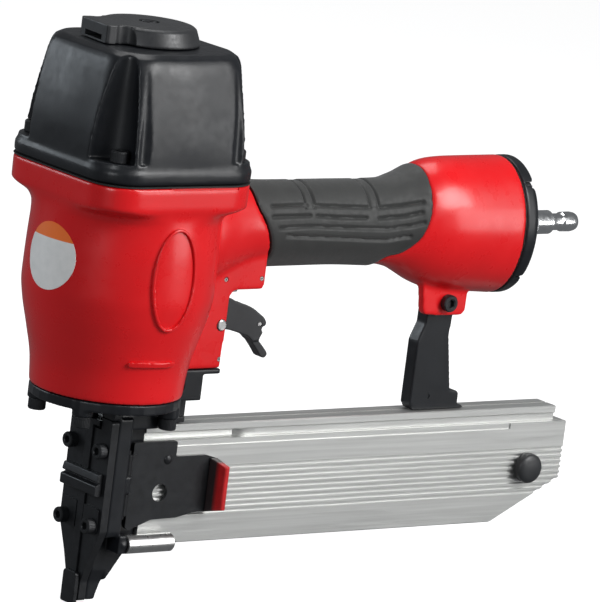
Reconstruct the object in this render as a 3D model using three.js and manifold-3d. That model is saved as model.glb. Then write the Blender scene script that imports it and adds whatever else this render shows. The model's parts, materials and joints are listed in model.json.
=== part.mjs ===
// Pneumatic brad nailer, in millimetres, +Z up.
// The magazine runs back along +X, the side with the sliding magazine cover faces -Y,
// and the origin is the middle of the contact foot's flat underside.
import * as THREE from 'three';
import { mergeVertices } from 'three/addons/utils/BufferGeometryUtils.js';
import Module from 'manifold-3d';

const wasm = await Module();
wasm.setup();

// Driving dimensions. Every X below is measured from the drive axis.
const DRIVE_X = 8;             // the drive axis stands this far behind the contact foot
const GAP = 0.3;               // clearance between pieces that touch
const FLANGE_TOP = 119.2;      // top of the nose's mounting flange
const HOUSING_BOTTOM = FLANGE_TOP + GAP;
const HOUSING_TOP = 240;
const HEAD_HALF = 51.4;        // half the head's width
const BARREL_HALF = 52;        // barrel radius at its widest
const HEAD_CORNER = 21;        // corner radius of the square head
const BARREL_FOOT = 41.5;      // barrel radius at its lower end
const SLEEVE_BORE = 26;
const SLEEVE_WALL = 3.5;
const SLEEVE_TOP = 243;
const PISTON_TOP = 241;
const PISTON_HEIGHT = 12;
const BUMPER_TOP = 143.5;
const CAP_BOTTOM = 241.3;
const CAP_TOP = 309.3;
const CAP_SCREW = 39;          // cap screws stand on a square of this half-width
const CHANNEL_FLOOR = 252;     // seat of the cap screws
const DEFLECTOR_BOTTOM = 309.9;
const DEFLECTOR_TURN = -5;     // degrees that the exhaust snout is turned from straight ahead
const NOSE_HALF = 18.4;        // half-width of the nose plate
const TIP_HALF = 6.5;          // half-width of the nose tip
const PLATE_FACE = -6.3;
const PARTING = -1.6;          // the front plate and the nose body meet here
const BASE_SCREW = [29, 20.5];
const FRONT_SEAT = 110;        // the base screws' heads sit here, front and rear
const REAR_SEAT = 106.5;
const MAG_START = 24.9;
const MAG_END = 324.5;
const MAG_BOTTOM = 33;
const MAG_TOP = 90.5;
const MAG_HALF = 11;
const COVER_THICK = 3.2;
const KNOB_AT = [297.7, 64.5]; // x and z of the cover's knob
const TUBE_AT = [-16.9, 35.6]; // y and z of the guide tube
const LATCH_PIN = [11.2, -13.2]; // x and y of the latch's hinge pin
const RAIL_TOP = 99;
const CHEEK = 14.5;            // half-width over the trigger cheeks
const SLOT = 6.5;              // half-width of the trigger slot
const PIN_AT = [62.6, 155.3];  // x and z of the trigger pin
const TRIGGER_HALF = 4.5;
const LEVER_PIN = [97.4, 152.4];
const VALVE_X = 74.5;
const HANDLE_Z = 208.2;
const REAR_FACE = 258.7;       // the rear chamber's open end
const END_SEAT = REAR_FACE + 2.6; // seat of the end cap's screws
const CAP_CROWN = 277;         // furthest point of the end cap
const PLUG_TIP = 319;
const END_Z = 204.8;           // middle height of the rear chamber's open end
const END_HALF = [29.6, 39.2]; // half-width and half-height of that end

const LUG_Y = [-10, -4.7];     // the bracket's lug lies between these
const BRACKET_BOLT = [224.4, 162.4];

const deg = THREE.MathUtils.degToRad;

// ---- shapes -------------------------------------------------------------------------------

function toSolid(geometry) {
  const bare = geometry.clone();
  bare.deleteAttribute('normal');
  bare.deleteAttribute('uv');
  const merged = mergeVertices(bare, 1e-4);
  const found = merged.index.array;
  const corners = [];
  for (let i = 0; i < found.length; i += 3) {
    const [a, b, c] = [found[i], found[i + 1], found[i + 2]];
    if (a !== b && b !== c && c !== a) corners.push(a, b, c);
  }
  const make = (list) => new wasm.Manifold(new wasm.Mesh({
    numProp: 3,
    vertProperties: Float32Array.from(merged.attributes.position.array),
    triVerts: Uint32Array.from(list),
  }));
  const solid = make(corners);
  return solid.volume() > 0 ? solid : make(corners.reverse());
}

function toGeometry(solid) {
  const mesh = solid.getMesh();
  const geometry = new THREE.BufferGeometry();
  geometry.setAttribute('position', new THREE.BufferAttribute(mesh.vertProperties, 3));
  geometry.setIndex(new THREE.BufferAttribute(mesh.triVerts, 1));
  geometry.computeVertexNormals();
  return geometry;
}

function block([x0, x1], [y0, y1], [z0, z1]) {
  const box = new THREE.BoxGeometry(x1 - x0, y1 - y0, z1 - z0);
  return toSolid(box.translate((x0 + x1) / 2, (y0 + y1) / 2, (z0 + z1) / 2));
}

// A block on one side of the middle plane, from near to far of it.
function sideBlock(side, xs, [near, far], zs) {
  return block(xs, side > 0 ? [near, far] : [-far, -near], zs);
}

// Turns a shape drawn in local x, y and swept along local z so that the sweep runs along axis.
function stand(geometry, axis) {
  const X = new THREE.Vector3(1, 0, 0);
  const Y = new THREE.Vector3(0, 1, 0);
  const Z = new THREE.Vector3(0, 0, 1);
  const frames = { x: [Y, Z, X], y: [X, Z, Y.clone().negate()], z: [X, Y, Z] };
  return geometry.applyMatrix4(new THREE.Matrix4().makeBasis(...frames[axis]));
}

// An outline in the plane across axis, swept from one place on the axis to another.
function prism(axis, outline, [from, to], holes = []) {
  const shape = new THREE.Shape(outline);
  shape.holes = holes.map((hole) => new THREE.Path(hole));
  const swept = new THREE.ExtrudeGeometry(shape, { depth: to - from, bevelEnabled: false });
  swept.translate(0, 0, axis === 'y' ? -to : from);
  return toSolid(stand(swept, axis));
}

const outlineOf = (points) => points.map(([u, v]) => new THREE.Vector2(u, v));

function circle(radius, [u, v] = [0, 0], sides = 16) {
  return Array.from({ length: sides }, (_, i) => {
    const turn = ((i + 0.5) / sides) * 2 * Math.PI;
    return new THREE.Vector2(u + radius * Math.cos(turn), v + radius * Math.sin(turn));
  });
}

function ellipse(halfU, halfV, [u, v], sides = 22) {
  return circle(1, [0, 0], sides).map((p) => new THREE.Vector2(u + halfU * p.x, v + halfV * p.y));
}

function rod(axis, radius, span, centre, sides = 16) {
  return prism(axis, circle(radius, centre, sides), span);
}

// A polygon whose corners are [u, v, radius]; a corner with a radius becomes an arc.
function filleted(corners, steps = 2) {
  const points = corners.map(([u, v]) => new THREE.Vector2(u, v));
  const outline = [];
  corners.forEach(([, , radius = 0], i) => {
    const here = points[i];
    if (!radius) {
      outline.push(here);
      return;
    }
    const back = points[(i + points.length - 1) % points.length].clone().sub(here).normalize();
    const on = points[(i + 1) % points.length].clone().sub(here).normalize();
    const half = Math.acos(back.dot(on)) / 2;
    const reach = radius / Math.tan(half);
    const centre = back.clone().add(on).normalize().multiplyScalar(radius / Math.sin(half)).add(here);
    const start = back.multiplyScalar(reach).add(here).sub(centre).angle();
    const end = on.multiplyScalar(reach).add(here).sub(centre).angle();
    const sweep = Math.atan2(Math.sin(end - start), Math.cos(end - start));
    for (let k = 0; k <= steps; k += 1) {
      const turn = start + (sweep * k) / steps;
      outline.push(new THREE.Vector2(Math.cos(turn), Math.sin(turn)).multiplyScalar(radius).add(centre));
    }
  });
  return outline;
}

// A smooth curve through points, as a list for an outline.
function smooth(points, steps) {
  const curve = new THREE.SplineCurve(points.map(([u, v]) => new THREE.Vector2(u, v)));
  return curve.getPoints(steps);
}

function rounded(halfU, halfV, radius, [u, v] = [0, 0], steps = 4) {
  const outline = [];
  const quarters = [[1, 1], [-1, 1], [-1, -1], [1, -1]];
  quarters.forEach(([sideU, sideV], quarter) => {
    for (let k = 0; k <= steps; k += 1) {
      const turn = (quarter + k / steps) * (Math.PI / 2);
      outline.push(new THREE.Vector2(
        u + sideU * (halfU - radius) + radius * Math.cos(turn),
        v + sideV * (halfV - radius) + radius * Math.sin(turn),
      ));
    }
  });
  return outline;
}

// A skin through sections of equal count, each an outline at one place on the axis.
function loft(axis, sections) {
  const count = sections[0].outline.length;
  const position = [];
  for (const { at, outline } of sections) {
    for (const p of outline) position.push(p.x, p.y, at);
  }
  const ends = [sections[0], sections[sections.length - 1]];
  for (const { at, outline } of ends) {
    const middle = outline.reduce((sum, p) => sum.add(p), new THREE.Vector2()).divideScalar(count);
    position.push(middle.x, middle.y, at);
  }
  const index = [];
  const last = (sections.length - 1) * count;
  const hub = sections.length * count;
  for (let j = 0; j < count; j += 1) {
    const next = (j + 1) % count;
    for (let i = 0; i < last; i += count) {
      index.push(i + j, i + next, i + count + next, i + j, i + count + next, i + count + j);
    }
    index.push(hub, next, j, hub + 1, last + j, last + next);
  }
  const geometry = new THREE.BufferGeometry();
  geometry.setAttribute('position', new THREE.BufferAttribute(new Float32Array(position), 3));
  geometry.setIndex(index);
  return toSolid(stand(geometry, axis));
}

// A profile of [radius, place] turned about an axis along x or z.
function turned(axis, profile, [u, v] = [0, 0], sides = 20) {
  const outline = profile.map(([radius, place]) => new THREE.Vector2(radius, place));
  const lathe = new THREE.LatheGeometry(outline, sides).rotateX(Math.PI / 2);
  return toSolid(stand(lathe.translate(u, v, 0), axis));
}

// A square-ended ring.
function tube(axis, inner, outer, [from, to], centre, sides = 24) {
  const profile = [[inner, from], [outer, from], [outer, to], [inner, to], [inner, from]];
  return turned(axis, profile, centre, sides);
}

function spring(axis, coilRadius, wire, [from, to], turns, [u, v]) {
  class Helix extends THREE.Curve {
    getPoint(t) {
      const turn = t * turns * 2 * Math.PI;
      return new THREE.Vector3(
        u + coilRadius * Math.cos(turn),
        v + coilRadius * Math.sin(turn),
        from + wire + t * (to - from - 2 * wire),
      );
    }
  }
  const section = new THREE.Shape(circle(wire, [0, 0], 5));
  const steps = turns * 8;
  const coil = new THREE.ExtrudeGeometry(section, { extrudePath: new Helix(), steps });
  return toSolid(stand(coil, axis));
}

const join = (first, ...rest) => rest.reduce((sum, piece) => sum.add(piece), first);
const cut = (first, ...rest) => rest.reduce((left, piece) => left.subtract(piece), first);
const common = (first, second) => first.intersect(second);
const both = (make) => join(make(1), make(-1));

// ---- materials ----------------------------------------------------------------------------

const finish = (color, roughness, metalness) => ({ color, roughness, metalness });
const RED = finish(0xc8141a, 0.35, 0.1);
const BLACK_CAST = finish(0x2b2e31, 0.45, 0.2);
const BLACK_STEEL = finish(0x1d1f21, 0.5, 0.6);
const RUBBER = finish(0x34353a, 0.85, 0);
const PLASTIC = finish(0x1b1c1e, 0.5, 0);
const ALUMINIUM = finish(0xc4c8cc, 0.35, 0.9);
const STEEL = finish(0xb8bcc0, 0.3, 1);
const CHROME = finish(0xdfe2e5, 0.12, 1);
const SEAL = finish(0x202020, 0.8, 0);
const AMBER = finish(0xa8722c, 0.6, 0);

const tool = new THREE.Group();
tool.position.x = DRIVE_X;

function add(name, solid, look, place = [0, 0, 0], turn = [0, 0, 0]) {
  const mesh = new THREE.Mesh(toGeometry(solid), new THREE.MeshStandardMaterial(look));
  mesh.name = name;
  mesh.position.set(...place);
  mesh.rotation.set(...turn.map(deg));
  tool.add(mesh);
}

// A socket head screw standing on z = 0 with its shank below.
function capScrew(headRadius, headHeight, shankRadius, length) {
  const head = rod('z', headRadius, [0, headHeight], [0, 0], 14);
  const shank = rod('z', shankRadius, [-length, 1], [0, 0], 8);
  const socket = rod('z', headRadius * 0.55, [headHeight * 0.45, headHeight + 1], [0, 0], 6);
  return cut(join(head, shank), socket);
}

// ---- housing ------------------------------------------------------------------------------

const roundSquare = (half, corner) => rounded(half, half, corner, [0, 0], 5);

// [height, half-width, corner radius]: a round barrel that opens into the square head.
function barrel(grow = 0) {
  const sizes = [
    [HOUSING_BOTTOM, BARREL_FOOT, BARREL_FOOT],
    [133, 42.5, 42.5],
    [150, 46.5, 46.5],
    [166, 50.5, 50.5],
    [177, BARREL_HALF, BARREL_HALF],
    [213, 51, 51],
    [225, 49.6, 23],
    [HOUSING_TOP, HEAD_HALF, HEAD_CORNER],
  ];
  return loft('z', sizes.map(([at, half, corner]) => (
    { at, outline: roundSquare(half + grow, corner + grow) })));
}

// [x, middle height, half-height, half-width] of the handle and the rear chamber.
const HANDLE_SECTIONS = [
  [30, 203, 31, 25],
  [50, 204, 30, 23.5],
  [63, 206, 27, 21],
  [78, 207.8, 23.9, 19.2],
  [95, HANDLE_Z, 22.9, 18.4],
  [135, HANDLE_Z, 22.8, 18.2],
  [172, 207.6, 23.6, 18.8],
  [184, 208, 26.2, 20.4],
  [193, 207.7, 30, 22.8],
  [203, 207.4, 34.6, 25.8],
  [212, 206.6, 36.8, 27.6],
  [222, 206, 37.8, 28.6],
  [REAR_FACE, END_Z, END_HALF[1], END_HALF[0]],
];

function handle(grow, first = 0, last = HANDLE_SECTIONS.length) {
  return loft('x', HANDLE_SECTIONS.slice(first, last).map(([at, middle, halfZ, halfY]) => {
    return { at, outline: ellipse(halfY + grow, halfZ + grow, [0, middle]) };
  }));
}

// The side outline of the grip's rubber, grown outward by a clearance.
function gripOutline(grow) {
  const front = smooth([[77, 246], [76.6, 224], [82, 213], [86.8, 203], [89.2, 195], [88.4, 186],
    [88, 170]], 10);
  const rear = smooth([[166, 170], [171, 188.5], [181, 193.5], [188.8, 201.6], [193, 212], [195, 223],
    [197, 246]], 14);
  const shift = (points, by) => points.map((p) => new THREE.Vector2(p.x + by, p.y));
  return [...shift(front, -grow), ...shift(rear, grow)];
}

const gripBlank = (grow) => prism('y', gripOutline(grow), [-60, 60]);

function triggerCarrier() {
  const leg = filleted([[36, 131], [65.4, 131, 2], [66.3, 174.5, 4], [89, 174.5, 2.5], [89, 196], [36, 196]]);
  return prism('y', leg, [-CHEEK, CHEEK]);
}

function bracketLug() {
  const side = filleted([[204.6, 178], [208.2, 155.4, 3], [239, 154.4, 4], [239.6, 178]]);
  return prism('y', side, LUG_Y);
}

function housingHollows() {
  const chamber = loft('x', [
    [200, 207.4, 18, 14],
    [211, 206.6, 30, 22],
    [222, 206, 33.4, 24.4],
    [REAR_FACE + 1, END_Z, END_HALF[1] - 4, END_HALF[0] - 4],
  ].map(([at, middle, halfV, halfU]) => ({ at, outline: ellipse(halfU, halfV, [0, middle]) })));
  return [
    rod('z', 36, [138, HOUSING_TOP + 1], [0, 0], 28),
    rod('z', 30, [HOUSING_BOTTOM - 1, 139], [0, 0], 28),
    rod('x', 13, [20, 201], [0, HANDLE_Z]),
    chamber,
  ];
}

function triggerRoom() {
  return [
    block([46.5, 92], [-SLOT, SLOT], [120, 172.5]),
    rod('z', 6.6, [170, 200], [VALVE_X, 0], 20),
    block([45, 58], [-5.4, 5.4], [125, 131.5]),
  ];
}

function screwHoles() {
  const cap = [];
  for (const sx of [1, -1]) {
    for (const sy of [1, -1]) {
      cap.push(rod('z', 3.3, [227, HOUSING_TOP + 1], [sx * CAP_SCREW, sy * CAP_SCREW], 8));
      cap.push(rod('z', 2.8, [HOUSING_BOTTOM - 1, 131], [sx * BASE_SCREW[0], sy * BASE_SCREW[1]], 8));
    }
  }
  return cap;
}

function sidePins() {
  return [
    rod('y', 3.3, [-20, 20], PIN_AT, 16),
    ...[[62.2, 180.6], [86.7, 180.5], [63.9, 136.2]].map((at) => rod('y', 1.55, [-20, 20], at, 8)),
    rod('y', 3.4, [-20, 5], BRACKET_BOLT, 16),
  ];
}

const END_SCREWS = [[17, 23.5], [-17, 23.5], [17, -23.5], [-17, -23.5]];

function endScrewHoles(radius) {
  return END_SCREWS.map(([y, z]) => rod('x', radius, [236, REAR_FACE + 30], [y, END_Z + z], 8));
}

function endBosses() {
  const chamberSkin = handle(-1, 10);
  const bosses = END_SCREWS.map(([y, z]) => rod('x', 6, [232, REAR_FACE], [y * 1.08, END_Z + z * 1.08], 14));
  return common(join(...bosses), chamberSkin);
}

function housing() {
  const shell = join(barrel(), handle(0));
  const recessed = cut(shell, gripBlank(GAP));
  const body = join(recessed, handle(-2.8, 2, 12), triggerCarrier(), bracketLug());
  const hollow = cut(body, ...housingHollows(), ...triggerRoom());
  const lugSeat = block([200, 245], [LUG_Y[1], 12], [150, 171.6]);
  return cut(join(hollow, endBosses()), ...screwHoles(), ...sidePins(), ...endScrewHoles(2.6), lugSeat);
}

function grip() {
  const sleeve = cut(common(handle(1.1, 3, 12), gripBlank(0)), handle(-2.5, 2, 12));
  return cut(sleeve, block([50, 89 + GAP], [-CHEEK - GAP, CHEEK + GAP], [150, 198]));
}

add('housing', housing(), RED);
add('grip_sleeve', grip(), RUBBER);

// ---- cylinder cap -------------------------------------------------------------------------

function capShell() {
  const sizes = [
    [CAP_BOTTOM, HEAD_HALF, HEAD_CORNER],
    [250, HEAD_HALF, HEAD_CORNER],
    [266, 49.4, 20.5],
    [293, 44.9, 19.5],
    [302, 43, 19],
    [306.8, 40.8, 18.5],
    [CAP_TOP, 37.4, 18],
  ];
  return loft('z', sizes.map(([at, half, corner]) => ({ at, outline: roundSquare(half, corner) })));
}

// The scoop over each cap screw: wide at the screw's seat and narrow at the top.
function capChannel(sx, sy) {
  const levels = [[CHANNEL_FLOOR, 13, 39], [275, 11, 38.2], [295, 8.5, 37], [CAP_TOP + 2, 6, 35.5]];
  return loft('z', levels.map(([at, radius, out]) => (
    { at, outline: circle(radius, [sx * (out + 2.5), sy * (out + 2.5)], 12) })));
}

function cylinderCap() {
  const hollow = turned('z', [
    [0, CAP_BOTTOM - 1], [37, CAP_BOTTOM - 1], [37, 257], [24, 262], [24, 298], [0, 298],
  ], [0, 0], 24);
  const ports = [[11, 0], [-11, 0], [0, 11], [0, -11]].map((at) => rod('z', 3, [290, CAP_TOP + 1], at, 10));
  const corners = [rod('z', 2.8, [290, CAP_TOP + 1], [0, 0], 12), ...ports];
  for (const sx of [1, -1]) {
    for (const sy of [1, -1]) {
      corners.push(capChannel(sx, sy));
      corners.push(rod('z', 3.3, [CAP_BOTTOM - 1, CHANNEL_FLOOR + 1], [sx * CAP_SCREW, sy * CAP_SCREW], 8));
    }
  }
  return cut(capShell(), hollow, ...corners);
}

function capGasket() {
  const holes = [circle(36.3, [0, 0], 28)];
  for (const sx of [1, -1]) {
    for (const sy of [1, -1]) holes.push(circle(3.3, [sx * CAP_SCREW, sy * CAP_SCREW], 8));
  }
  return prism('z', roundSquare(51.4, 20.6), [HOUSING_TOP + GAP, CAP_BOTTOM - GAP], holes);
}

add('cylinder_cap', cylinderCap(), BLACK_CAST);
add('cap_gasket', capGasket(), SEAL);
const capScrewSolid = capScrew(5, 6, 2.95, 23.5);
[[1, 1], [-1, 1], [-1, -1], [1, -1]].forEach(([sx, sy], i) => {
  add(`cap_screw_${i + 1}`, capScrewSolid, BLACK_STEEL,
    [sx * CAP_SCREW, sy * CAP_SCREW, CHANNEL_FLOOR + GAP]);
});

// ---- exhaust deflector --------------------------------------------------------------------

function deflector() {
  const disc = turned('z', [[0, 0], [28.4, 0], [28.4, 1], [25.6, 8.6], [24.6, 9.4], [0, 10.4]], [0, 0], 28);
  const snout = prism('z', filleted([[0, -16], [-20, -16], [-27, -14], [-34, -14, 2], [-34, 14, 2],
    [-27, 14], [-20, 16], [0, 16]]), [0, 9.6]);
  const waist = both((side) => rod('z', 5.6, [-1, 12], [-25, side * 18.6], 20));
  const mouth = block([-40, -14], [-8.5, 8.5], [1, 3.8]);
  const gallery = join(rod('z', 16, [-1, 5.5], [0, 0], 28), mouth);
  const seat = join(rod('z', 2.9, [-1, 12], [0, 0], 14), rod('z', 5.6, [7.2, 12], [0, 0], 18));
  const post = rod('z', 6.5, [0, 8], [0, 0], 18);
  return cut(join(cut(join(disc, snout), waist, gallery), post), seat);
}

add('exhaust_deflector', deflector(), PLASTIC, [0, 0, DEFLECTOR_BOTTOM], [0, 0, DEFLECTOR_TURN]);
add('deflector_screw', capScrew(4.4, 2.6, 2.5, 13), BLACK_STEEL, [0, 0, DEFLECTOR_BOTTOM + 7.5]);

// ---- inside the cylinder ------------------------------------------------------------------

add('head_valve', cut(turned('z', [
  [0, SLEEVE_TOP + GAP], [33, SLEEVE_TOP + GAP], [33, 250], [21, 250], [21, 256], [0, 256],
], [0, 0], 32), rod('z', 14.5, [249, 257], [0, 0], 24)), PLASTIC);
add('head_valve_spring', spring('z', 18, 1.1, [256.4, 294], 4, [0, 0]), STEEL);
add('cylinder_sleeve',
  tube('z', SLEEVE_BORE, SLEEVE_BORE + SLEEVE_WALL, [HOUSING_BOTTOM, SLEEVE_TOP], [0, 0], 28), ALUMINIUM);
add('sleeve_seal', tube('z', 29.9, 35.6, [228, 233], [0, 0], 28), SEAL);
add('drive_piston', cut(turned('z', [
  [0, PISTON_TOP - PISTON_HEIGHT], [SLEEVE_BORE - 0.3, PISTON_TOP - PISTON_HEIGHT],
  [SLEEVE_BORE - 0.3, PISTON_TOP], [12, PISTON_TOP], [10, PISTON_TOP - 5], [0, PISTON_TOP - 5],
], [0, 0], 36), block([-1.3, 1.3], [-2.3, 2.3], [PISTON_TOP - PISTON_HEIGHT - 1, PISTON_TOP - 7])),
ALUMINIUM);
add('driver_blade', block([-1, 1], [-2, 2], [88, PISTON_TOP - 7.4]), STEEL);
add('bumper', tube('z', 8, SLEEVE_BORE - 0.4, [FLANGE_TOP + GAP, BUMPER_TOP], [0, 0], 24), AMBER);

// ---- nose ---------------------------------------------------------------------------------

function noseBody() {
  const flange = prism('z', circle(41, [0, 0], 32), [113.5, FLANGE_TOP]);
  const boss = (seat, x, y) => rod('z', 5.8, [seat, FLANGE_TOP], [x, y], 16);
  const frontBosses = both((side) => boss(FRONT_SEAT, -BASE_SCREW[0], side * BASE_SCREW[1]));
  const rearBosses = both((side) => boss(REAR_SEAT, BASE_SCREW[0], side * BASE_SCREW[1]));
  const brow = block([PLATE_FACE, 0], [-NOSE_HALF, NOSE_HALF], [105.4, 114]);
  const headBlock = prism('y', filleted([[PARTING + GAP, 99.4], [33, 99.4], [40, 102.5, 3], [40, 114],
    [PARTING + GAP, 114]]), [-NOSE_HALF + 2, NOSE_HALF - 2]);
  const cheeks = block([PARTING + GAP, 8], [-NOSE_HALF, NOSE_HALF], [40, 106]);
  const guide = prism('y', filleted([[PARTING + GAP, 2.5], [4.4, 2.5, 1], [5.6, 7], [7.4, 12.2], [10.9, 17],
    [18.4, 27.6], [22, 33], [24, 36], [24, 99], [PARTING + GAP, 99]]), [-8.6, 8.6]);
  const underLeg = join(
    block([20, 54.6], [-CHEEK, CHEEK], [113.5, 130.7]),
    prism('z', rounded(13, CHEEK, 2, [53.6, 0]), [128, 130.7]),
  );
  const barrelRoom = cut(rod('z', BARREL_FOOT + 3, [FLANGE_TOP, 132], [0, 0], 32));
  const tubeWeb = block([7, 11.8], [-19.5, -8], [31, 41]);
  const tubeSpigot = rod('x', 3.3, [9, 24], TUBE_AT, 16);
  const latchLug = block([7, 13.4], [-15.2, -10], [63.4, 72.6]);
  const solid = join(flange, frontBosses, rearBosses, brow, headBlock, cheeks, guide,
    cut(underLeg, barrelRoom));
  const tipTaper = both((side) => prism('x', outlineOf([[side * 30, 0], [side * TIP_HALF, 0],
    [side * TIP_HALF, 13], [side * 11, 26], [side * 30, 69]]), [-10, 8.2]));
  const tipSides = both((side) => prism('x', outlineOf([[side * 30, 0], [side * TIP_HALF, 0],
    [side * 10.6, 30], [side * 30, 30]]), [8, 30]));
  const shaped = join(cut(solid, tipTaper, tipSides), tubeWeb, tubeSpigot, latchLug);
  const holes = [];
  for (const sx of [1, -1]) {
    for (const sy of [1, -1]) {
      const at = [sx * BASE_SCREW[0], sy * BASE_SCREW[1]];
      holes.push(rod('z', 2.8, [90, 125], at, 12));
      holes.push(rod('z', 5.5, [90, sx > 0 ? REAR_SEAT : FRONT_SEAT], at, 16));
    }
  }
  return cut(shaped, ...holes,
    block([-2, 1.4], [-2.4, 2.4], [0, 125]),
    block([1.2, 30], [-1.4, 1.4], [34, 89]),
    block([-8, 44.5], [-9.2, 9.2], [99, 111.5]),
    block([39, 56], [-9.2, 9.2], [98, 112]),
    block([40, 48.6], [-4.6, 4.6], [98, 119.1]),
    block([48, 54], [-5.4, 5.4], [98, 135]),
    rod('z', 1.35, [40, 96], LATCH_PIN, 10),
    ...plateScrewHoles([-2, 7]));
}

const PLATE_SCREWS = [[13.5, 87.6], [-13.5, 87.6], [12.3, 46], [-12.3, 46]];

function plateScrewHoles(span) {
  return PLATE_SCREWS.map(([y, z]) => rod('x', 2.7, span, [y, z], 12));
}

function plateOutline() {
  const side = [[TIP_HALF, 2.2, 1.5], [TIP_HALF, 13, 6], [11, 26, 5], [NOSE_HALF, 43, 6],
    [NOSE_HALF, 105, 2]];
  const mirrored = side.map(([y, z, radius]) => [-y, z, radius]).reverse();
  return filleted([...side, ...mirrored]);
}

function frontPlate() {
  const plate = prism('x', plateOutline(), [PLATE_FACE, PARTING]);
  const pad = prism('x', filleted([[16.5, 41.5, 3], [16.5, 56, 2], [-16.5, 56, 2], [-16.5, 41.5, 3]]),
    [PLATE_FACE - 1.2, PLATE_FACE + 1]);
  const groove = block([PLATE_FACE - 3, PLATE_FACE + 2.2], [-3.4, 3.4], [0, 110]);
  const notch = block([PLATE_FACE - 3, 0], [-9.2, 9.2], [98.4, 110]);
  return cut(join(plate, pad), groove, notch, ...plateScrewHoles([-12, 0]));
}

function stripGuide() {
  const side = filleted([[PLATE_FACE - GAP, 62.8], [PLATE_FACE - GAP, 75.2], [-9.6, 75.2, 0.8],
    [-10.6, 70.8, 0.8], [-8.4, 70.2], [-8.4, 69.6], [-11.2, 68.8, 0.8], [-11.2, 63.4, 0.8], [-9.5, 62.8]]);
  return cut(prism('y', side, [-16, 16]), block([-7.4, -6], [-3.6, 3.6], [60, 78]));
}

add('nose_body', noseBody(), BLACK_CAST);
add('nose_front_plate', frontPlate(), BLACK_STEEL);
add('strip_guide', stripGuide(), BLACK_STEEL);
PLATE_SCREWS.forEach(([y, z], i) => {
  const out = z < 56 ? PLATE_FACE - 1.2 : PLATE_FACE;
  add(`nose_screw_${i + 1}`, capScrew(4.25, 5, 2.4, 11), BLACK_STEEL, [out - GAP, y, z], [0, -90, 0]);
});
[[1, 1], [-1, 1], [-1, -1], [1, -1]].forEach(([sx, sy], i) => {
  const seat = sx > 0 ? REAR_SEAT : FRONT_SEAT;
  add(`base_screw_${i + 1}`, capScrew(5, 6, 2.5, 130 - seat), BLACK_STEEL,
    [sx * BASE_SCREW[0], sy * BASE_SCREW[1], seat - GAP], [180, 0, 0]);
});

// ---- contact element ----------------------------------------------------------------------

function contactFoot() {
  const pad = prism('x', filleted([[-5.8, 0, 1], [5.8, 0, 1], [5.8, 18, 2], [-5.8, 18, 2]]), [-9.3, -6.6]);
  return cut(pad, block([-7.7, -6], [-3.1, 3.1], [9, 20]));
}

// A flat strip up the front plate that turns back through the nose as a fork round the driver
// and rises behind the barrel to the trigger.
function contactYoke() {
  const strip = block([-7.4, -5], [-2.8, 2.8], [9.4, 103]);
  const bridge = block([-7.4, -3.4], [-8.4, 8.4], [100, 103]);
  const tines = both((side) => sideBlock(side, [-4, 50], [4.6, 8.4], [100, 103]));
  const back = block([40.2, 52.6], [-4.6, 4.6], [100, 103]);
  const riser = prism('y', filleted([[49, 100], [52.6, 100], [52.6, 138.2], [71.4, 138.2], [71.4, 140.4, 1],
    [52.6, 140.4], [52.6, 150.8], [49, 150.8]]), [-4.6, 4.6]);
  return join(strip, bridge, tines, back, riser);
}

add('contact_foot', contactFoot(), BLACK_STEEL);
add('contact_yoke', contactYoke(), BLACK_STEEL);
add('contact_spring', spring('z', 3.1, 0.5, [103.4, 118.8], 4, [44.2, 0]), STEEL);

// ---- trigger and its valve ----------------------------------------------------------------

function trigger() {
  const top = smooth([[71, 167.2], [75, 167.6], [80.6, 165], [86.1, 163.7], [91.7, 161.4], [96.1, 158.6],
    [99.8, 156.1], [101.8, 153.4]], 9);
  const rear = outlineOf([[101.5, 151.4], [99.6, 150.8], [99.1, 149.2], [100.2, 147.6], [98.8, 145.2]]);
  const tongue = smooth([[98.2, 143.5], [101.9, 140], [105.4, 136.2], [105.6, 134.2], [103.8, 132.9],
    [101.4, 133.8]], 8);
  const front = smooth([[98, 138], [94, 142.4], [90.6, 145.4], [86, 147], [80.5, 148.7], [75, 150],
    [68, 150.6], [62, 150.8]], 10);
  const hub = smooth([[58.4, 153], [57.8, 157], [60.5, 160.2], [66, 162]], 6);
  const blank = prism('y', [...top, ...rear, ...tongue, ...front, ...hub], [-TRIGGER_HALF, TRIGGER_HALF]);
  const pinBoss = rod('y', 5, [-SLOT + 0.5, SLOT - 0.5], PIN_AT, 20);
  const leverRoom = join(
    block([50, 90], [-2.8, 2.8], [158, 175]),
    prism('y', outlineOf([[76, 176], [76, 156.5], [86, 152.5], [93, 149], [104, 149.4], [104, 176]]),
      [-2.8, 2.8]),
  );
  const tongueSides = both((side) => sideBlock(side, [90, 110], [3.3, 9], [120, 143]));
  return cut(join(blank, pinBoss), leverRoom, tongueSides, rod('y', 3.3, [-12, 12], PIN_AT, 16),
    rod('y', 1.6, [-12, 12], LEVER_PIN, 12));
}

// A flat lever hinged in the trigger's rear. It passes over the trigger pin and hooks down in
// front of it, above the contact yoke.
function triggerLever() {
  const strip = filleted([[50.4, 153.6], [53.4, 153.6], [53.4, 158.8], [75.6, 158.8], [94.8, 150.8],
    [97.4, 150, 1], [99.8, 152.4], [97.4, 154.8, 1], [77.4, 160.6, 1], [50.4, 160.6, 1.5]]);
  return cut(prism('y', strip, [-2.3, 2.3]), rod('y', 1.6, [-9, 9], LEVER_PIN, 12));
}

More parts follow.
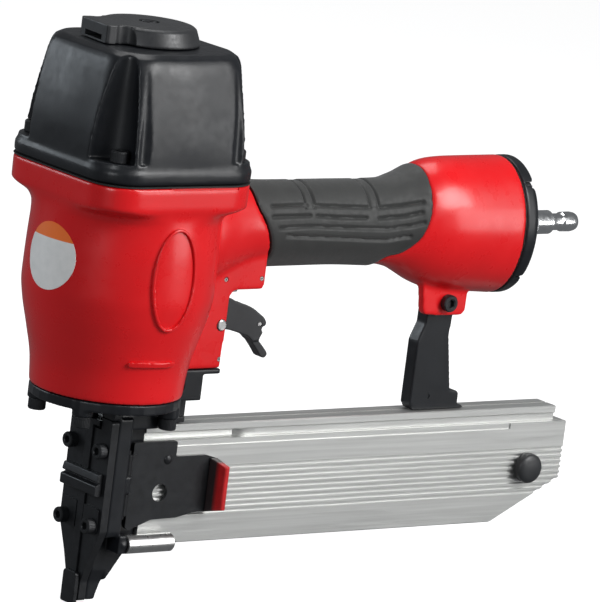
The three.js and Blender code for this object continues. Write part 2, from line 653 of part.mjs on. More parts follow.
add('trigger', trigger(), PLASTIC);
add('trigger_pin', rod('y', 3, [-15.4, 15.4], PIN_AT, 20), STEEL);
add('lever_pin', rod('y', 1.3, [-TRIGGER_HALF + 0.1, TRIGGER_HALF - 0.1], LEVER_PIN, 12), STEEL);
add('trigger_lever', triggerLever(), STEEL);
add('valve_body', cut(turned('z', [
  [0, 171.4], [6, 171.4], [6, 176], [5.2, 176.6], [5.2, 178], [6, 178.6], [6, 197], [0, 197],
], [VALVE_X, 0], 20), rod('z', 2.2, [170, 198], [VALVE_X, 0], 14)), ALUMINIUM);
add('valve_stem', rod('z', 1.8, [164.2, 188], [VALVE_X, 0], 12), STEEL);
add('valve_spring', spring('z', 1.5, 0.3, [191, 196.6], 3, [VALVE_X, 0]), STEEL);
[[62.2, 180.6], [86.7, 180.5], [63.9, 136.2]].forEach((at, i) => {
  add(`roll_pin_${i + 1}`, rod('y', 1.25, [-CHEEK + 0.2, CHEEK - 0.2], at, 12), STEEL);
});

// ---- rear chamber -------------------------------------------------------------------------

function endCap() {
  const sections = [0, 1, 2, 3].map((i) => {
    const turn = (i / 3) * (Math.PI / 2);
    return [REAR_FACE + 6.5 + 6.3 * Math.sin(turn), 9 * (1 - Math.cos(turn))];
  });
  const all = [[REAR_FACE + 0.9, 0], ...sections].map(([at, shrink]) => (
    { at, outline: ellipse(END_HALF[0] - shrink, END_HALF[1] - shrink, [0, END_Z]) }));
  const crown = turned('x', [[0, REAR_FACE + 5], [14, REAR_FACE + 5], [14, CAP_CROWN - 3], [12, CAP_CROWN],
    [0, CAP_CROWN]], [0, END_Z], 28);
  const pockets = END_SCREWS.map(([y, z]) => rod('x', 5.2, [END_SEAT, REAR_FACE + 30], [y, END_Z + z], 12));
  const inside = rod('x', 12, [REAR_FACE - 1, REAR_FACE + 6], [0, END_Z]);
  const port = rod('x', 5, [REAR_FACE, CAP_CROWN + 1], [0, END_Z], 16);
  return cut(join(loft('x', all), crown), ...pockets, ...endScrewHoles(2.6), inside, port,
    rod('x', 7.6, [CAP_CROWN - 7.7, CAP_CROWN + 1], [0, END_Z], 20));
}

function airPlug() {
  const profile = [
    [2.6, CAP_CROWN - 7.4], [7.2, CAP_CROWN - 7.4], [7.2, CAP_CROWN + 0.5], [9.4, CAP_CROWN + 0.5],
    [9.4, CAP_CROWN + 9], [6.8, CAP_CROWN + 10], [6.8, CAP_CROWN + 22.5], [4.6, CAP_CROWN + 25],
    [4.6, CAP_CROWN + 31], [5.7, CAP_CROWN + 33], [5.7, CAP_CROWN + 41], [4.8, PLUG_TIP],
    [2.6, PLUG_TIP], [2.6, CAP_CROWN - 7.4],
  ];
  const body = turned('x', profile, [0, END_Z], 24);
  const hex = prism('x', circle(9.6, [0, END_Z], 6), [CAP_CROWN - 8, CAP_CROWN + 9.4]);
  return common(body, join(hex, rod('x', 9, [CAP_CROWN + 8, PLUG_TIP + 1], [0, END_Z]),
    rod('x', 8, [CAP_CROWN - 9, CAP_CROWN + 1], [0, END_Z])));
}

add('end_cap', endCap(), BLACK_CAST);
add('end_cap_gasket', prism('x', ellipse(END_HALF[0] - 0.6, END_HALF[1] - 0.6, [0, END_Z]),
  [REAR_FACE + 0.2, REAR_FACE + 0.7],
  [circle(19.5, [0, END_Z], 20), ...END_SCREWS.map(([y, z]) => circle(2.6, [y, END_Z + z], 8))]), SEAL);
END_SCREWS.forEach(([y, z], i) => {
  add(`end_screw_${i + 1}`, capScrew(4.6, 5, 2.3, 20), BLACK_STEEL, [END_SEAT + GAP, y, END_Z + z],
    [0, 90, 0]);
});
add('air_plug', airPlug(), CHROME);

// ---- magazine -----------------------------------------------------------------------------

// The side outline of the magazine, which is cut off at a slant under its rear end.
function magazineSide(endX, low, high) {
  return filleted([[MAG_START, low], [276, low, 2], [endX, 57.5, 2], [endX, high], [MAG_START, high]]);
}

function magazineRail() {
  const wall = prism('y', magazineSide(MAG_END, MAG_BOTTOM, MAG_TOP),
    [-MAG_HALF + COVER_THICK + 0.5, MAG_HALF]);
  const track = block([MAG_START - 1, MAG_END + 1], [-MAG_HALF, 4.5], [38, MAG_TOP - 3]);
  const neck = block([MAG_START, 317.3], [-3.4, 3.4], [MAG_TOP - 1, RAIL_TOP - 2]);
  const head = block([MAG_START, 317.3], [-8.6, 8.6], [RAIL_TOP - 4.2, RAIL_TOP]);
  const sideGrooves = [51, 57, 63, 69, 75].map((z) => (
    block([20, 330], [MAG_HALF - 0.8, MAG_HALF + 1], [z - 0.7, z + 0.7])));
  const slots = block([MAG_START - 1, 318], [-0.8, 0.8], [RAIL_TOP - 0.9, RAIL_TOP + 1]);
  return cut(join(cut(wall, track), neck, head), ...sideGrooves, slots,
    ...[36, 226].map((x) => rod('z', 2.6, [88, 101], [x, 0], 12)));
}

// The outer side of the magazine, which slides back along the rail. Its middle is ribbed.
function magazineCover() {
  const plate = prism('y', magazineSide(MAG_END, MAG_BOTTOM, MAG_TOP), [-MAG_HALF, -MAG_HALF + COVER_THICK]);
  const ribPitch = 3.1;
  const grooves = Array.from({ length: 9 }, (_, i) => {
    const z = 49.6 + i * ribPitch;
    return block([20, 330], [-MAG_HALF - 1, -MAG_HALF + 1.1], [z - 0.85, z + 0.85]);
  });
  const lipStep = block([MAG_START - 1, 283], [-MAG_HALF - 1, -MAG_HALF + 0.9],
    [MAG_TOP - 3.2, MAG_TOP + 1]);
  const endWall = block([MAG_END - 4, MAG_END], [-MAG_HALF + 1, 4.2], [60, MAG_TOP - 4]);
  return cut(join(plate, endWall), ...grooves, lipStep, rod('y', 3.3, [-20, 0], KNOB_AT, 14));
}

add('magazine_rail', magazineRail(), ALUMINIUM);
add('magazine_cover', magazineCover(), ALUMINIUM);
add('cover_knob', join(
  rod('y', 8.6, [-MAG_HALF - 6.6, -MAG_HALF - GAP], KNOB_AT, 28),
  rod('y', 3, [-MAG_HALF - 1, -MAG_HALF + COVER_THICK - 0.4], KNOB_AT, 14),
), PLASTIC);
add('pusher', join(
  block([26, 42], [-5.4, 3.6], [39, 84]),
  block([41, 57], [-5.4, 3.6], [62, 80]),
), BLACK_STEEL);
add('pusher_spring', spring('x', 3, 0.5, [57.4, 320], 8, [-1, 71]), STEEL);

// ---- latch, tube and bracket --------------------------------------------------------------

const LATCH_Y = [-MAG_HALF - 2.6, -MAG_HALF - GAP];

function latchPlate() {
  const side = filleted([[14, 44], [16.5, 42.4], [31, 47.6, 2], [48, 48, 2], [59, 50.4, 2], [70.6, 50.5],
    [70.6, 80.6], [64, 82.5, 2], [43.4, 82.5, 1], [43.4, 91.2, 1], [14, 91.2]]);
  const blank = cut(prism('y', side, LATCH_Y), rod('y', 5, [-20, 0], [35, 62.5], 28),
    rod('y', 1.9, [-20, 0], [38, 81], 12));
  const curls = [[51, 63], [73, 85]].map((span) => join(
    rod('z', 2.4, span, LATCH_PIN, 16),
    block([LATCH_PIN[0] + 0.5, 16], [LATCH_Y[0] - 0.6, LATCH_Y[0] + 1], span),
  ));
  return cut(join(blank, ...curls), rod('z', 1.35, [40, 96], LATCH_PIN, 10));
}

function latchTab() {
  const fin = prism('z', filleted([[66.6, -MAG_HALF - 2.9], [71.6, -MAG_HALF - 2.9], [72.8, -25, 1.2],
    [69.4, -25.4, 1.2]]), [50.6, 80.8]);
  const upper = prism('x', outlineOf([[-26, 77.6], [-13, 81], [-13, 90], [-26, 90]]), [60, 80]);
  const lower = prism('x', outlineOf([[-26, 54], [-13, 50.4], [-13, 40], [-26, 40]]), [60, 80]);
  return cut(fin, upper, lower);
}

add('latch_plate', latchPlate(), BLACK_STEEL);
add('latch_pin', rod('z', 1.2, [49, 87], LATCH_PIN, 12), STEEL);
add('latch_tab', latchTab(), RED);
add('latch_rivet', join(rod('y', 1.6, [LATCH_Y[0] - 0.4, LATCH_Y[1]], [38, 81], 12),
  rod('y', 2.6, [LATCH_Y[0] - 1.3, LATCH_Y[0] - 0.3], [38, 81], 14)), STEEL);
add('guide_tube', tube('x', 3.6, 5.1, [12.4, 43.4], TUBE_AT, 20), STEEL);

function supportBracket() {
  const side = filleted([[216.4, 171, 2], [216.2, 149, 6], [211.9, 139, 8], [211.8, 103, 2],
    [214.4, RAIL_TOP + GAP],
    [251.4, RAIL_TOP + GAP], [250.4, 100.8, 1], [246.6, 102, 1], [246.6, 109.4, 2.4], [240, 110, 2],
    [234, 142, 8], [235, 153, 3], [235, 171, 2]]);
  return cut(prism('y', side, [-4.4, 4.4]), rod('y', 3.1, [-20, 3], BRACKET_BOLT, 16),
    rod('z', 2.6, [90, 104], [226, 0], 12));
}

add('support_bracket', supportBracket(), BLACK_CAST);
add('bracket_bolt', capScrew(5, 4, 2.9, 12), BLACK_STEEL,
  [BRACKET_BOLT[0], LUG_Y[0] - GAP, BRACKET_BOLT[1]], [90, 0, 0]);

const root = new THREE.Group();
root.add(tool);
export default root;
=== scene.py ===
"""A pneumatic brad nailer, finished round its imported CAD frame.

Shapes are drawn in millimetres from the drive axis, with +Z up and the magazine running
back along +X. A mesh is stored in metres, in the frame's own axes."""

import json
import math

import bmesh
import bpy
from mathutils import Matrix, Vector


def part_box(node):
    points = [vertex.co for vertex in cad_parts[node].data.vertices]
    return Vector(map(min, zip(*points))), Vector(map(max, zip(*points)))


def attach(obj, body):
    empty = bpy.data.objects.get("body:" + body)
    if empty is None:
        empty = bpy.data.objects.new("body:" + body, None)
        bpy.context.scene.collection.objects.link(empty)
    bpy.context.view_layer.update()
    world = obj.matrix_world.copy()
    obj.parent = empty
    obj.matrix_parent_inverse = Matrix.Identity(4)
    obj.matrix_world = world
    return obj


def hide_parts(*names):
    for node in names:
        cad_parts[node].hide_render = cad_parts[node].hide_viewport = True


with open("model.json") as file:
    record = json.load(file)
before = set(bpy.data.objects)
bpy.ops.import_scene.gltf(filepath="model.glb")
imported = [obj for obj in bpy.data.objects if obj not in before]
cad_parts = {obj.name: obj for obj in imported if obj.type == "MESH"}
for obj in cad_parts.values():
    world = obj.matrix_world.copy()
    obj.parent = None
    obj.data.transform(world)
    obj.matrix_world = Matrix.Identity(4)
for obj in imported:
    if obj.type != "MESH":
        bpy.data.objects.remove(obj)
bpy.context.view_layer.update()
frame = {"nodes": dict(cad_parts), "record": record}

MM = 0.001
X, Y, Z = 0, 1, 2
CAD_GAP = 2e-6                  # corners of a CAD mesh closer than this are one, in metres
THROUGH = 60                    # reaches past the tool's side from its middle plane
EDGE_ANGLE = 32                 # a machined or pressed piece keeps edges sharper than this
CAST_ANGLE = 60                 # a casting keeps only edges sharper than this
AXIS = sum(corner[X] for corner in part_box("cylinder_sleeve")) / 2 / MM
BODY_OF = {node: body for body, nodes in frame["record"]["behaviour"]["bodies"].items() for node in nodes}
SLOT_OF = {part["node"]: part["material_slot"] for part in frame["record"]["subparts"]}


def span(node, axis):
    """The lowest and highest place of a CAD node along one axis."""
    shift = AXIS if axis == X else 0
    return tuple(corner[axis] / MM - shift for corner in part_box(node))


def middle(node):
    return tuple(sum(span(node, axis)) / 2 for axis in (X, Y, Z))


def four(name):
    """The middles of the four nodes of a numbered set."""
    return [middle(f"{name}_{i}") for i in (1, 2, 3, 4)]


# ---- outlines ----


def circle(radius, centre=(0, 0), sides=48):
    turns = [2 * math.pi * (i + 0.5) / sides for i in range(sides)]
    return [(centre[0] + radius * math.cos(t), centre[1] + radius * math.sin(t)) for t in turns]


def ellipse(half_u, half_v, centre=(0, 0), sides=96):
    return [(centre[0] + half_u * u, centre[1] + half_v * v) for u, v in circle(1, sides=sides)]


def filleted(corners, steps=6):
    """A polygon whose corners are (u, v, radius); a corner with a radius becomes an arc."""
    points = [Vector(corner[:2]) for corner in corners]
    outline = []
    for i, corner in enumerate(corners):
        here = points[i]
        radius = corner[2] if len(corner) > 2 else 0
        if not radius:
            outline.append(tuple(here))
            continue
        back = (points[i - 1] - here).normalized()
        on = (points[(i + 1) % len(points)] - here).normalized()
        half = math.acos(max(-1, min(1, back.dot(on)))) / 2
        centre = here + (back + on).normalized() * (radius / math.sin(half))
        reach = radius / math.tan(half)
        first = here + back * reach - centre
        last = here + on * reach - centre
        start = math.atan2(first.y, first.x)
        sweep = math.atan2(last.y, last.x) - start
        sweep = math.atan2(math.sin(sweep), math.cos(sweep))
        for k in range(steps + 1):
            turn = start + sweep * k / steps
            outline.append((centre.x + radius * math.cos(turn), centre.y + radius * math.sin(turn)))
    return outline


def slab(half_u, half_v, radius, centre):
    """A rounded rectangle."""
    u, v = centre
    corners = ((1, 1), (-1, 1), (-1, -1), (1, -1))
    return filleted([(u + side_u * half_u, v + side_v * half_v, radius) for side_u, side_v in corners])


def smooth(points, steps=8):
    """A Catmull-Rom curve through points."""
    ends = [points[0], *points, points[-1]]
    curve = []
    for i in range(1, len(ends) - 2):
        p0, p1, p2, p3 = (Vector(p) for p in ends[i - 1:i + 3])
        for k in range(steps):
            t = k / steps
            at = 0.5 * (2 * p1 + (p2 - p0) * t + (2 * p0 - 5 * p1 + 4 * p2 - p3) * t * t
                        + (3 * p1 - p0 - 3 * p2 + p3) * t ** 3)
            curve.append(tuple(at))
    return curve + [tuple(points[-1])]


def round_square(half, corner, bulge=0.0, sides=144):
    """A square with round corners and faces that may bulge, sampled at even turns."""
    inset = half - corner
    outline = []
    for i in range(sides):
        turn = 2 * math.pi * (i + 0.5) / sides
        c, s = abs(math.cos(turn)), abs(math.sin(turn))
        reach = half / max(c, s)
        if reach * min(c, s) > inset:
            along = inset * (c + s)
            reach = along + math.sqrt(max(0.0, along * along - 2 * inset * inset + corner * corner))
        reach += bulge * math.cos(2 * turn) ** 2
        outline.append((reach * math.cos(turn), reach * math.sin(turn)))
    return outline


def eased(rows, step):
    """Rows of (place, values...) filled in by a monotone cubic, about one step apart."""
    slopes = []
    for i in range(len(rows)):
        low, high = max(i - 1, 0), min(i + 1, len(rows) - 1)
        slope = []
        for k in range(1, len(rows[0])):
            before = (rows[i][k] - rows[low][k]) / (rows[i][0] - rows[low][0]) if i > low else None
            after = (rows[high][k] - rows[i][k]) / (rows[high][0] - rows[i][0]) if high > i else None
            if before is None or after is None:
                slope.append(after if before is None else before)
            else:
                slope.append(2 * before * after / (before + after) if before * after > 0 else 0.0)
        slopes.append(slope)
    filled = []
    for (a, b, from_slope, to_slope) in zip(rows, rows[1:], slopes, slopes[1:]):
        width = b[0] - a[0]
        count = max(1, round(width / step))
        for j in range(count):
            t = j / count
            row = [a[0] + width * t]
            for k, (m0, m1) in enumerate(zip(from_slope, to_slope), 1):
                row.append((2 * t ** 3 - 3 * t ** 2 + 1) * a[k] + (t ** 3 - 2 * t ** 2 + t) * width * m0
                           + (3 * t ** 2 - 2 * t ** 3) * b[k] + (t ** 3 - t ** 2) * width * m1)
            filled.append(tuple(row))
    return filled + [rows[-1]]


# ---- solids ----


def weld(mesh, gap, step=None):
    """Runs together a mesh's corners within a gap in metres, then works a step on it."""
    work = bmesh.new()
    work.from_mesh(mesh)
    bmesh.ops.remove_doubles(work, verts=work.verts, dist=gap)
    if step:
        step(work)
    work.to_mesh(mesh)
    work.free()


def blank(mesh):
    """A new, unfinished object in the scene."""
    obj = bpy.data.objects.new("blank", mesh)
    bpy.context.scene.collection.objects.link(obj)
    return obj


def mesh_object(points, faces):
    mesh = bpy.data.meshes.new("blank")
    mesh.from_pydata([((x + AXIS) * MM, y * MM, z * MM) for x, y, z in points], [], faces)
    weld(mesh, 1e-7, lambda work: bmesh.ops.recalc_face_normals(work, faces=work.faces))
    return blank(mesh)


def place(axis, u, v, at):
    """A point from its place along an axis and its two other coordinates."""
    return {"x": (at, u, v), "y": (u, at, v), "z": (u, v, at)}[axis]


def band(first, second, count):
    """The faces between two rings of points that start at these numbers."""
    return [(first + i, first + (i + 1) % count, second + (i + 1) % count, second + i) for i in range(count)]


def loft(axis, sections):
    """A closed skin through (place, outline) sections whose outlines have equal counts."""
    count = len(sections[0][1])
    points = [place(axis, u, v, at) for at, outline in sections for u, v in outline]
    last = (len(sections) - 1) * count
    faces = []
    for start in range(0, last, count):
        faces += band(start, start + count, count)
    ends = [tuple(range(count - 1, -1, -1)), tuple(range(last, last + count))]
    return mesh_object(points, faces + ends)


def prism(axis, outline, low, high):
    """An outline drawn out straight along an axis."""
    return loft(axis, [(low, outline), (high, outline)])


def block(xs, ys, zs):
    return prism("z", [(xs[0], ys[0]), (xs[1], ys[0]), (xs[1], ys[1]), (xs[0], ys[1])], *zs)


def rod(axis, radius, low, high, centre=(0, 0), sides=48):
    return prism(axis, circle(radius, centre, sides), low, high)


def lathe(axis, profile, centre=(0, 0), sides=96, wave=None):
    """A closed profile of (radius, place) turned about an axis. wave(turn) scales the radii."""
    points, faces = [], []
    for radius, at in profile:
        for i in range(sides):
            turn = 2 * math.pi * i / sides
            reach = radius * (wave(turn) if wave and radius else 1)
            u, v = centre[0] + reach * math.cos(turn), centre[1] + reach * math.sin(turn)
            points.append(place(axis, u, v, at))
    for start in range(0, len(points), sides):
        faces += band(start, (start + sides) % len(points), sides)
    return mesh_object(points, faces)


def bake(obj):
    """Turns an object's modifiers into its own mesh."""
    graph = bpy.context.evaluated_depsgraph_get()
    mesh = bpy.data.meshes.new_from_object(obj.evaluated_get(graph))
    obj.modifiers.clear()
    obj.data = mesh
    return obj


def combine(base, operation, tools):
    """Works the tools on the base by boolean, and uses them up."""
    for tool in tools:
        step = base.modifiers.new("step", "BOOLEAN")
        step.solver = "MANIFOLD"
        step.operation = operation
        step.object = tool
    bake(base)
    for tool in tools:
        bpy.data.objects.remove(tool)
    return base


def join(base, *tools):
    return combine(base, "UNION", tools)


def cut(base, *tools):
    return combine(base, "DIFFERENCE", tools)


def common(base, *tools):
    return combine(base, "INTERSECT", tools)


def both(make):
    """make(1) and make(-1)."""
    return [make(1), make(-1)]


def cast(obj, voxel, rounds):
    """Runs a solid's edges together, as a casting or a moulding has them."""
    remesh = obj.modifiers.new("skin", "REMESH")
    remesh.mode = "VOXEL"
    remesh.voxel_size = voxel * MM
    relax = obj.modifiers.new("relax", "SMOOTH")
    relax.factor = 0.5
    relax.iterations = rounds
    return bake(obj)


def soften(obj, width, segments=2):
    """Breaks the sharp edges of a machined or pressed piece."""
    flat = math.radians(0.6)
    weld(obj.data, CAD_GAP, lambda work: bmesh.ops.dissolve_limit(
        work, angle_limit=flat, verts=work.verts, edges=work.edges))
    edge = obj.modifiers.new("edge", "BEVEL")
    edge.width = width * MM
    edge.segments = segments
    edge.limit_method = "ANGLE"
    edge.angle_limit = math.radians(EDGE_ANGLE)
    return bake(obj)


def moved(obj, at, turn=Matrix.Identity(4)):
    """Carries a blank drawn about the origin to a place, turned first."""
    home = Matrix.Translation((AXIS * MM, 0, 0))
    obj.data.transform(home @ Matrix.Translation(Vector(at) * MM) @ turn @ home.inverted())
    return obj


def cad_copy(node):
    """A blank with a CAD node's own shape."""
    mesh = frame["nodes"][node].data.copy()
    weld(mesh, CAD_GAP)
    return blank(mesh)


# ---- materials ----


class Nodes:
    """A material's node tree, with short calls for the nodes that the finishes share."""

    def __init__(self, name, color, roughness, metallic=0.0, **sockets):
        self.material = bpy.data.materials.new(name)
        self.material.use_nodes = True
        self.tree = self.material.node_tree
        self.shader = self.tree.nodes["Principled BSDF"]
        self.color = color
        self.shader.inputs["Base Color"].default_value = (*color, 1)
        self.shader.inputs["Roughness"].default_value = roughness
        self.shader.inputs["Metallic"].default_value = metallic
        for key, value in sockets.items():
            self.shader.inputs[key.replace("_", " ")].default_value = value
        self.place = self.tree.nodes.new("ShaderNodeTexCoord").outputs["Object"]

    def link(self, output, socket):
        self.tree.links.new(output, socket)

    def stretched(self, scale):
        mapping = self.tree.nodes.new("ShaderNodeMapping")
        mapping.inputs["Scale"].default_value = scale
        self.link(self.place, mapping.inputs["Vector"])
        return mapping.outputs["Vector"]

    def noise(self, size, detail, stretch=(1, 1, 1)):
        """Noise whose grains are about size millimetres across."""
        node = self.tree.nodes.new("ShaderNodeTexNoise")
        node.inputs["Scale"].default_value = 1 / (size * MM)
        node.inputs["Detail"].default_value = detail
        self.link(self.stretched(stretch), node.inputs["Vector"])
        return node.outputs["Fac"]

    def cells(self, size):
        """Rounded cells about size millimetres across."""
        node = self.tree.nodes.new("ShaderNodeTexVoronoi")
        node.inputs["Scale"].default_value = 1 / (size * MM)
        self.link(self.place, node.inputs["Vector"])
        return node.outputs["Distance"]

    def ramp(self, value, stops):
        """Colours picked by a value, from stops of (place, colour)."""
        node = self.tree.nodes.new("ShaderNodeValToRGB")
        steps = node.color_ramp.elements
        while len(steps) < len(stops):
            steps.new(0.5)
        for step, (at, color) in zip(steps, stops):
            step.position = at
            step.color = (*color, 1)
        self.link(value, node.inputs["Fac"])
        return node.outputs["Color"]

    def reach(self, value, low, high, from_low=0.3, from_high=0.7):
        """A value spread over a new range, held at its ends."""
        node = self.tree.nodes.new("ShaderNodeMapRange")
        ends = {"From Min": from_low, "From Max": from_high, "To Min": low, "To Max": high}
        for key, number in ends.items():
            node.inputs[key].default_value = number
        self.link(value, node.inputs["Value"])
        return node.outputs["Result"]

    def mix(self, factor, first, second):
        """Two colours mixed by a value; each is a tuple or another node's output."""
        node = self.tree.nodes.new("ShaderNodeMix")
        node.data_type = "RGBA"
        self.link(factor, node.inputs["Factor"])
        inputs = [socket for socket in node.inputs if socket.type == "RGBA"]
        for socket, color in zip(inputs, (first, second)):
            if isinstance(color, tuple):
                socket.default_value = (*color, 1)
            else:
                self.link(color, socket)
        return next(socket for socket in node.outputs if socket.type == "RGBA")

    def paint(self, color):
        self.link(color, self.shader.inputs["Base Color"])

    def vary_color(self, value, spread):
        """Shades the base colour up and down by a fraction."""
        dark = tuple(channel * (1 - spread) for channel in self.color)
        light = tuple(min(1, channel * (1 + spread)) for channel in self.color)
        shade = self.ramp(value, [(0.3, dark), (0.7, light)])
        self.paint(shade)
        return shade

    def vary_roughness(self, value, low, high):
        self.link(self.reach(value, low, high), self.shader.inputs["Roughness"])

    def bump(self, *layers):
        """Each layer is (height, depth in millimetres)."""
        normal = None
        for height, depth in layers:
            node = self.tree.nodes.new("ShaderNodeBump")
            node.inputs["Distance"].default_value = depth * MM
            self.link(height, node.inputs["Height"])
            if normal:
                self.link(normal, node.inputs["Normal"])
            normal = node.outputs["Normal"]
        self.link(normal, self.shader.inputs["Normal"])

    def vary(self, shade, gloss, *relief):
        """Noise as (size, detail, spread), (size, detail, low, high) and (size, detail, depth) rows."""
        self.vary_color(self.noise(*shade[:2]), shade[2])
        self.vary_roughness(self.noise(*gloss[:2]), *gloss[2:])
        self.bump(*[(self.noise(*row[:2]), row[2]) for row in relief])
        return self.material

    def along(self, axis):
        """How far along an axis a point is, in metres."""
        split = self.tree.nodes.new("ShaderNodeSeparateXYZ")
        self.link(self.place, split.inputs["Vector"])
        return split.outputs[axis]

    def paint_edge_highlights(self, color, highlight_color):
        """Paints a lighter colour on exposed edges as a painted highlight."""
        geometry = self.tree.nodes.new("ShaderNodeNewGeometry")
        edge = self.reach(geometry.outputs["Pointiness"], 0.0, 1.0, 0.53, 0.62)
        self.paint(self.mix(edge, color, highlight_color))


def red_paint():
    nodes = Nodes("red_paint", (0.7, 0.009, 0.012), 0.34, Coat_Weight=0.25, Coat_Roughness=0.16,
                  Specular_IOR_Level=0.35)
    return nodes.vary((38, 2, 0.05), (9, 4, 0.25, 0.36), (3.6, 1, 0.006))


def black_cast():
    nodes = Nodes("black_cast", (0.008, 0.0092, 0.0115), 0.36, Coat_Weight=0.12, Coat_Roughness=0.2,
                  Specular_IOR_Level=0.33)
    shade = nodes.vary_color(nodes.noise(14, 3), 0.18)
    # Painted highlight: the casting's exposed edges are painted lighter.
    nodes.paint_edge_highlights(shade, (0.022, 0.025, 0.03))
    nodes.vary_roughness(nodes.noise(5, 4), 0.32, 0.46)
    nodes.bump((nodes.noise(0.8, 2), 0.006), (nodes.noise(3.5, 2), 0.012))
    return nodes.material


def black_steel():
    nodes = Nodes("black_steel", (0.014, 0.015, 0.017), 0.42, 0.3)
    return nodes.vary((6, 4, 0.25), (2.5, 5, 0.34, 0.52), (0.5, 3, 0.01))


def grip_rubber():
    nodes = Nodes("grip_rubber", (0.02, 0.021, 0.02), 0.6, Sheen_Weight=0.15, Sheen_Roughness=0.5)
    nodes.vary_color(nodes.noise(12, 4), 0.16)
    nodes.vary_roughness(nodes.noise(3, 3), 0.54, 0.68)
    nodes.bump((nodes.cells(0.55), 0.012), (nodes.noise(1.6, 3), 0.015))
    return nodes.material


def black_plastic():
    nodes = Nodes("black_plastic", (0.022, 0.023, 0.025), 0.42)
    return nodes.vary((9, 3, 0.15), (1.8, 4, 0.36, 0.5), (0.45, 2, 0.012))


def aluminium():
    nodes = Nodes("aluminium", (0.62, 0.625, 0.61), 0.4, 0.85)
    streaks = nodes.noise(1.3, 4, (0.012, 1, 1))
    nodes.vary_color(streaks, 0.07)
    nodes.vary_roughness(nodes.noise(0.7, 3, (0.02, 1, 1)), 0.34, 0.46)
    nodes.bump((nodes.noise(0.4, 2, (0.01, 1, 1)), 0.0025), (nodes.noise(0.5, 2), 0.001))
    return nodes.material


def bright_steel():
    nodes = Nodes("bright_steel", (0.62, 0.62, 0.61), 0.25, 1.0)
    return nodes.vary((4, 3, 0.08), (2.5, 3, 0.26, 0.36), (1.5, 2, 0.002))


def chrome():
    nodes = Nodes("chrome", (0.82, 0.83, 0.84), 0.2, 1.0)
    return nodes.vary((5, 2, 0.05), (2, 4, 0.15, 0.26), (0.6, 2, 0.003))


def seal_rubber():
    nodes = Nodes("seal_rubber", (0.012, 0.012, 0.012), 0.7)
    return nodes.vary((3, 3, 0.2), (1, 3, 0.6, 0.8), (0.4, 2, 0.01))


def bumper_urethane():
    nodes = Nodes("bumper_urethane", (0.4, 0.2, 0.045), 0.45, Subsurface_Weight=0.2)
    return nodes.vary((7, 3, 0.15), (2, 3, 0.38, 0.55), (0.8, 2, 0.01))


FINISHES = {make.__name__: make() for make in (
    red_paint, black_cast, black_steel, grip_rubber, black_plastic, aluminium, bright_steel, chrome,
    seal_rubber, bumper_urethane)}


def label_paper(centre_z, radius):
    """A plain white sticker with an orange band across its top."""
    nodes = Nodes("label_paper", (0.78, 0.77, 0.74), 0.35, Coat_Weight=0.3, Coat_Roughness=0.15)
    mottled = nodes.ramp(nodes.noise(5, 3), [(0.3, (0.84, 0.84, 0.82)), (0.7, (0.92, 0.91, 0.89))])
    band_low = centre_z + radius * 0.52
    band = nodes.reach(nodes.along("Z"), 0.0, 1.0, band_low * MM, (band_low + radius * 0.01) * MM)
    nodes.paint(nodes.mix(band, mottled, (1.0, 0.2, 0.03)))
    nodes.vary_roughness(nodes.noise(2, 3), 0.3, 0.42)
    nodes.bump((nodes.noise(0.5, 2), 0.004))
    return nodes.material


def tab_red_with_painted_shade(low, high):
    """Red moulding, painted near-black towards the plate it is fixed to as painted shade."""
    nodes = Nodes("tab_red_with_painted_shade", (0.5, 0.01, 0.012), 0.4)
    red = nodes.ramp(nodes.noise(4, 3), [(0.3, (0.44, 0.008, 0.01)), (0.7, (0.56, 0.012, 0.014))])
    # Painted shade: the red turns near-black towards the plate, from low to high along Y.
    painted_shade_mask = nodes.reach(nodes.along("Y"), 0.0, 1.0, low * MM, high * MM)
    nodes.paint(nodes.mix(painted_shade_mask, red, (0.02, 0.012, 0.013)))
    nodes.vary_roughness(nodes.noise(2, 3), 0.34, 0.46)
    nodes.bump((nodes.noise(0.5, 2), 0.008))
    return nodes.material


def dress(obj, material, angle=EDGE_ANGLE):
    """Gives a piece its material, smooth shading, and normals levelled over its flat faces."""
    obj.data.materials.clear()
    obj.data.materials.append(material)
    obj.data.polygons.foreach_set("use_smooth", [True] * len(obj.data.polygons))
    obj.data.set_sharp_from_angle(angle=math.radians(angle))
    level = obj.modifiers.new("level", "WEIGHTED_NORMAL")
    level.keep_sharp = True


def finish(name, obj, *nodes, slot=None, body=None, angle=EDGE_ANGLE):
    """Names a blank, gives it its slot's finish, and lets it ride for the CAD nodes it stands for."""
    obj.name = obj.data.name = name
    slot = slot or SLOT_OF[nodes[0]]
    dress(obj, FINISHES[slot], angle)
    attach(obj, body or BODY_OF[nodes[0]])
    if nodes:
        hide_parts(*nodes)
    return obj


# ---- housing ----

BARREL_LOW = span("housing", Z)[0]
HEAD_TOP = span("cap_gasket", Z)[0] - 0.3
REAR_FACE = span("housing", X)[1]
END_Z = middle("end_cap")[Z]
GRIP_Z = middle("valve_body")[Z] + 24
CAP_LOW, CAP_TOP = span("cylinder_cap", Z)
HEAD_HALF = span("cylinder_cap", Y)[1]
CHEEK = 14.5                    # half-width over the trigger cheeks
WAIST = 2.8                     # how far the handle is let in under the rubber
RAISED = 1.5                    # how far the barrel's oval and bar stand out
HEAD_BORE, BARREL_BORE, AIR_BORE = 36, 30, 13
BORE_STEP = 138                 # where the head's bore narrows to the barrel's
TRIGGER_ROOM = 6.5              # half-width of the slot that the trigger swings in
VALVE_BORE, PIN_BORE, BOLT_BORE = 6.6, 3.3, 3.4

# (height, half-width, corner radius): a round barrel that opens into the square head.
BARREL = [
    (BARREL_LOW, 41.4, 41.3), (133, 42.6, 42.5), (150, 46.5, 46.4), (166, 50.5, 50.4), (177, 52, 51.9),
    (198, 51.6, 51.4), (212, 50.8, 50), (219, 50.3, 47), (223, 50.2, 40), (226, 50.9, 25),
    (227.6, 51.4, 21.5), (HEAD_TOP, 51.4, 21),
]

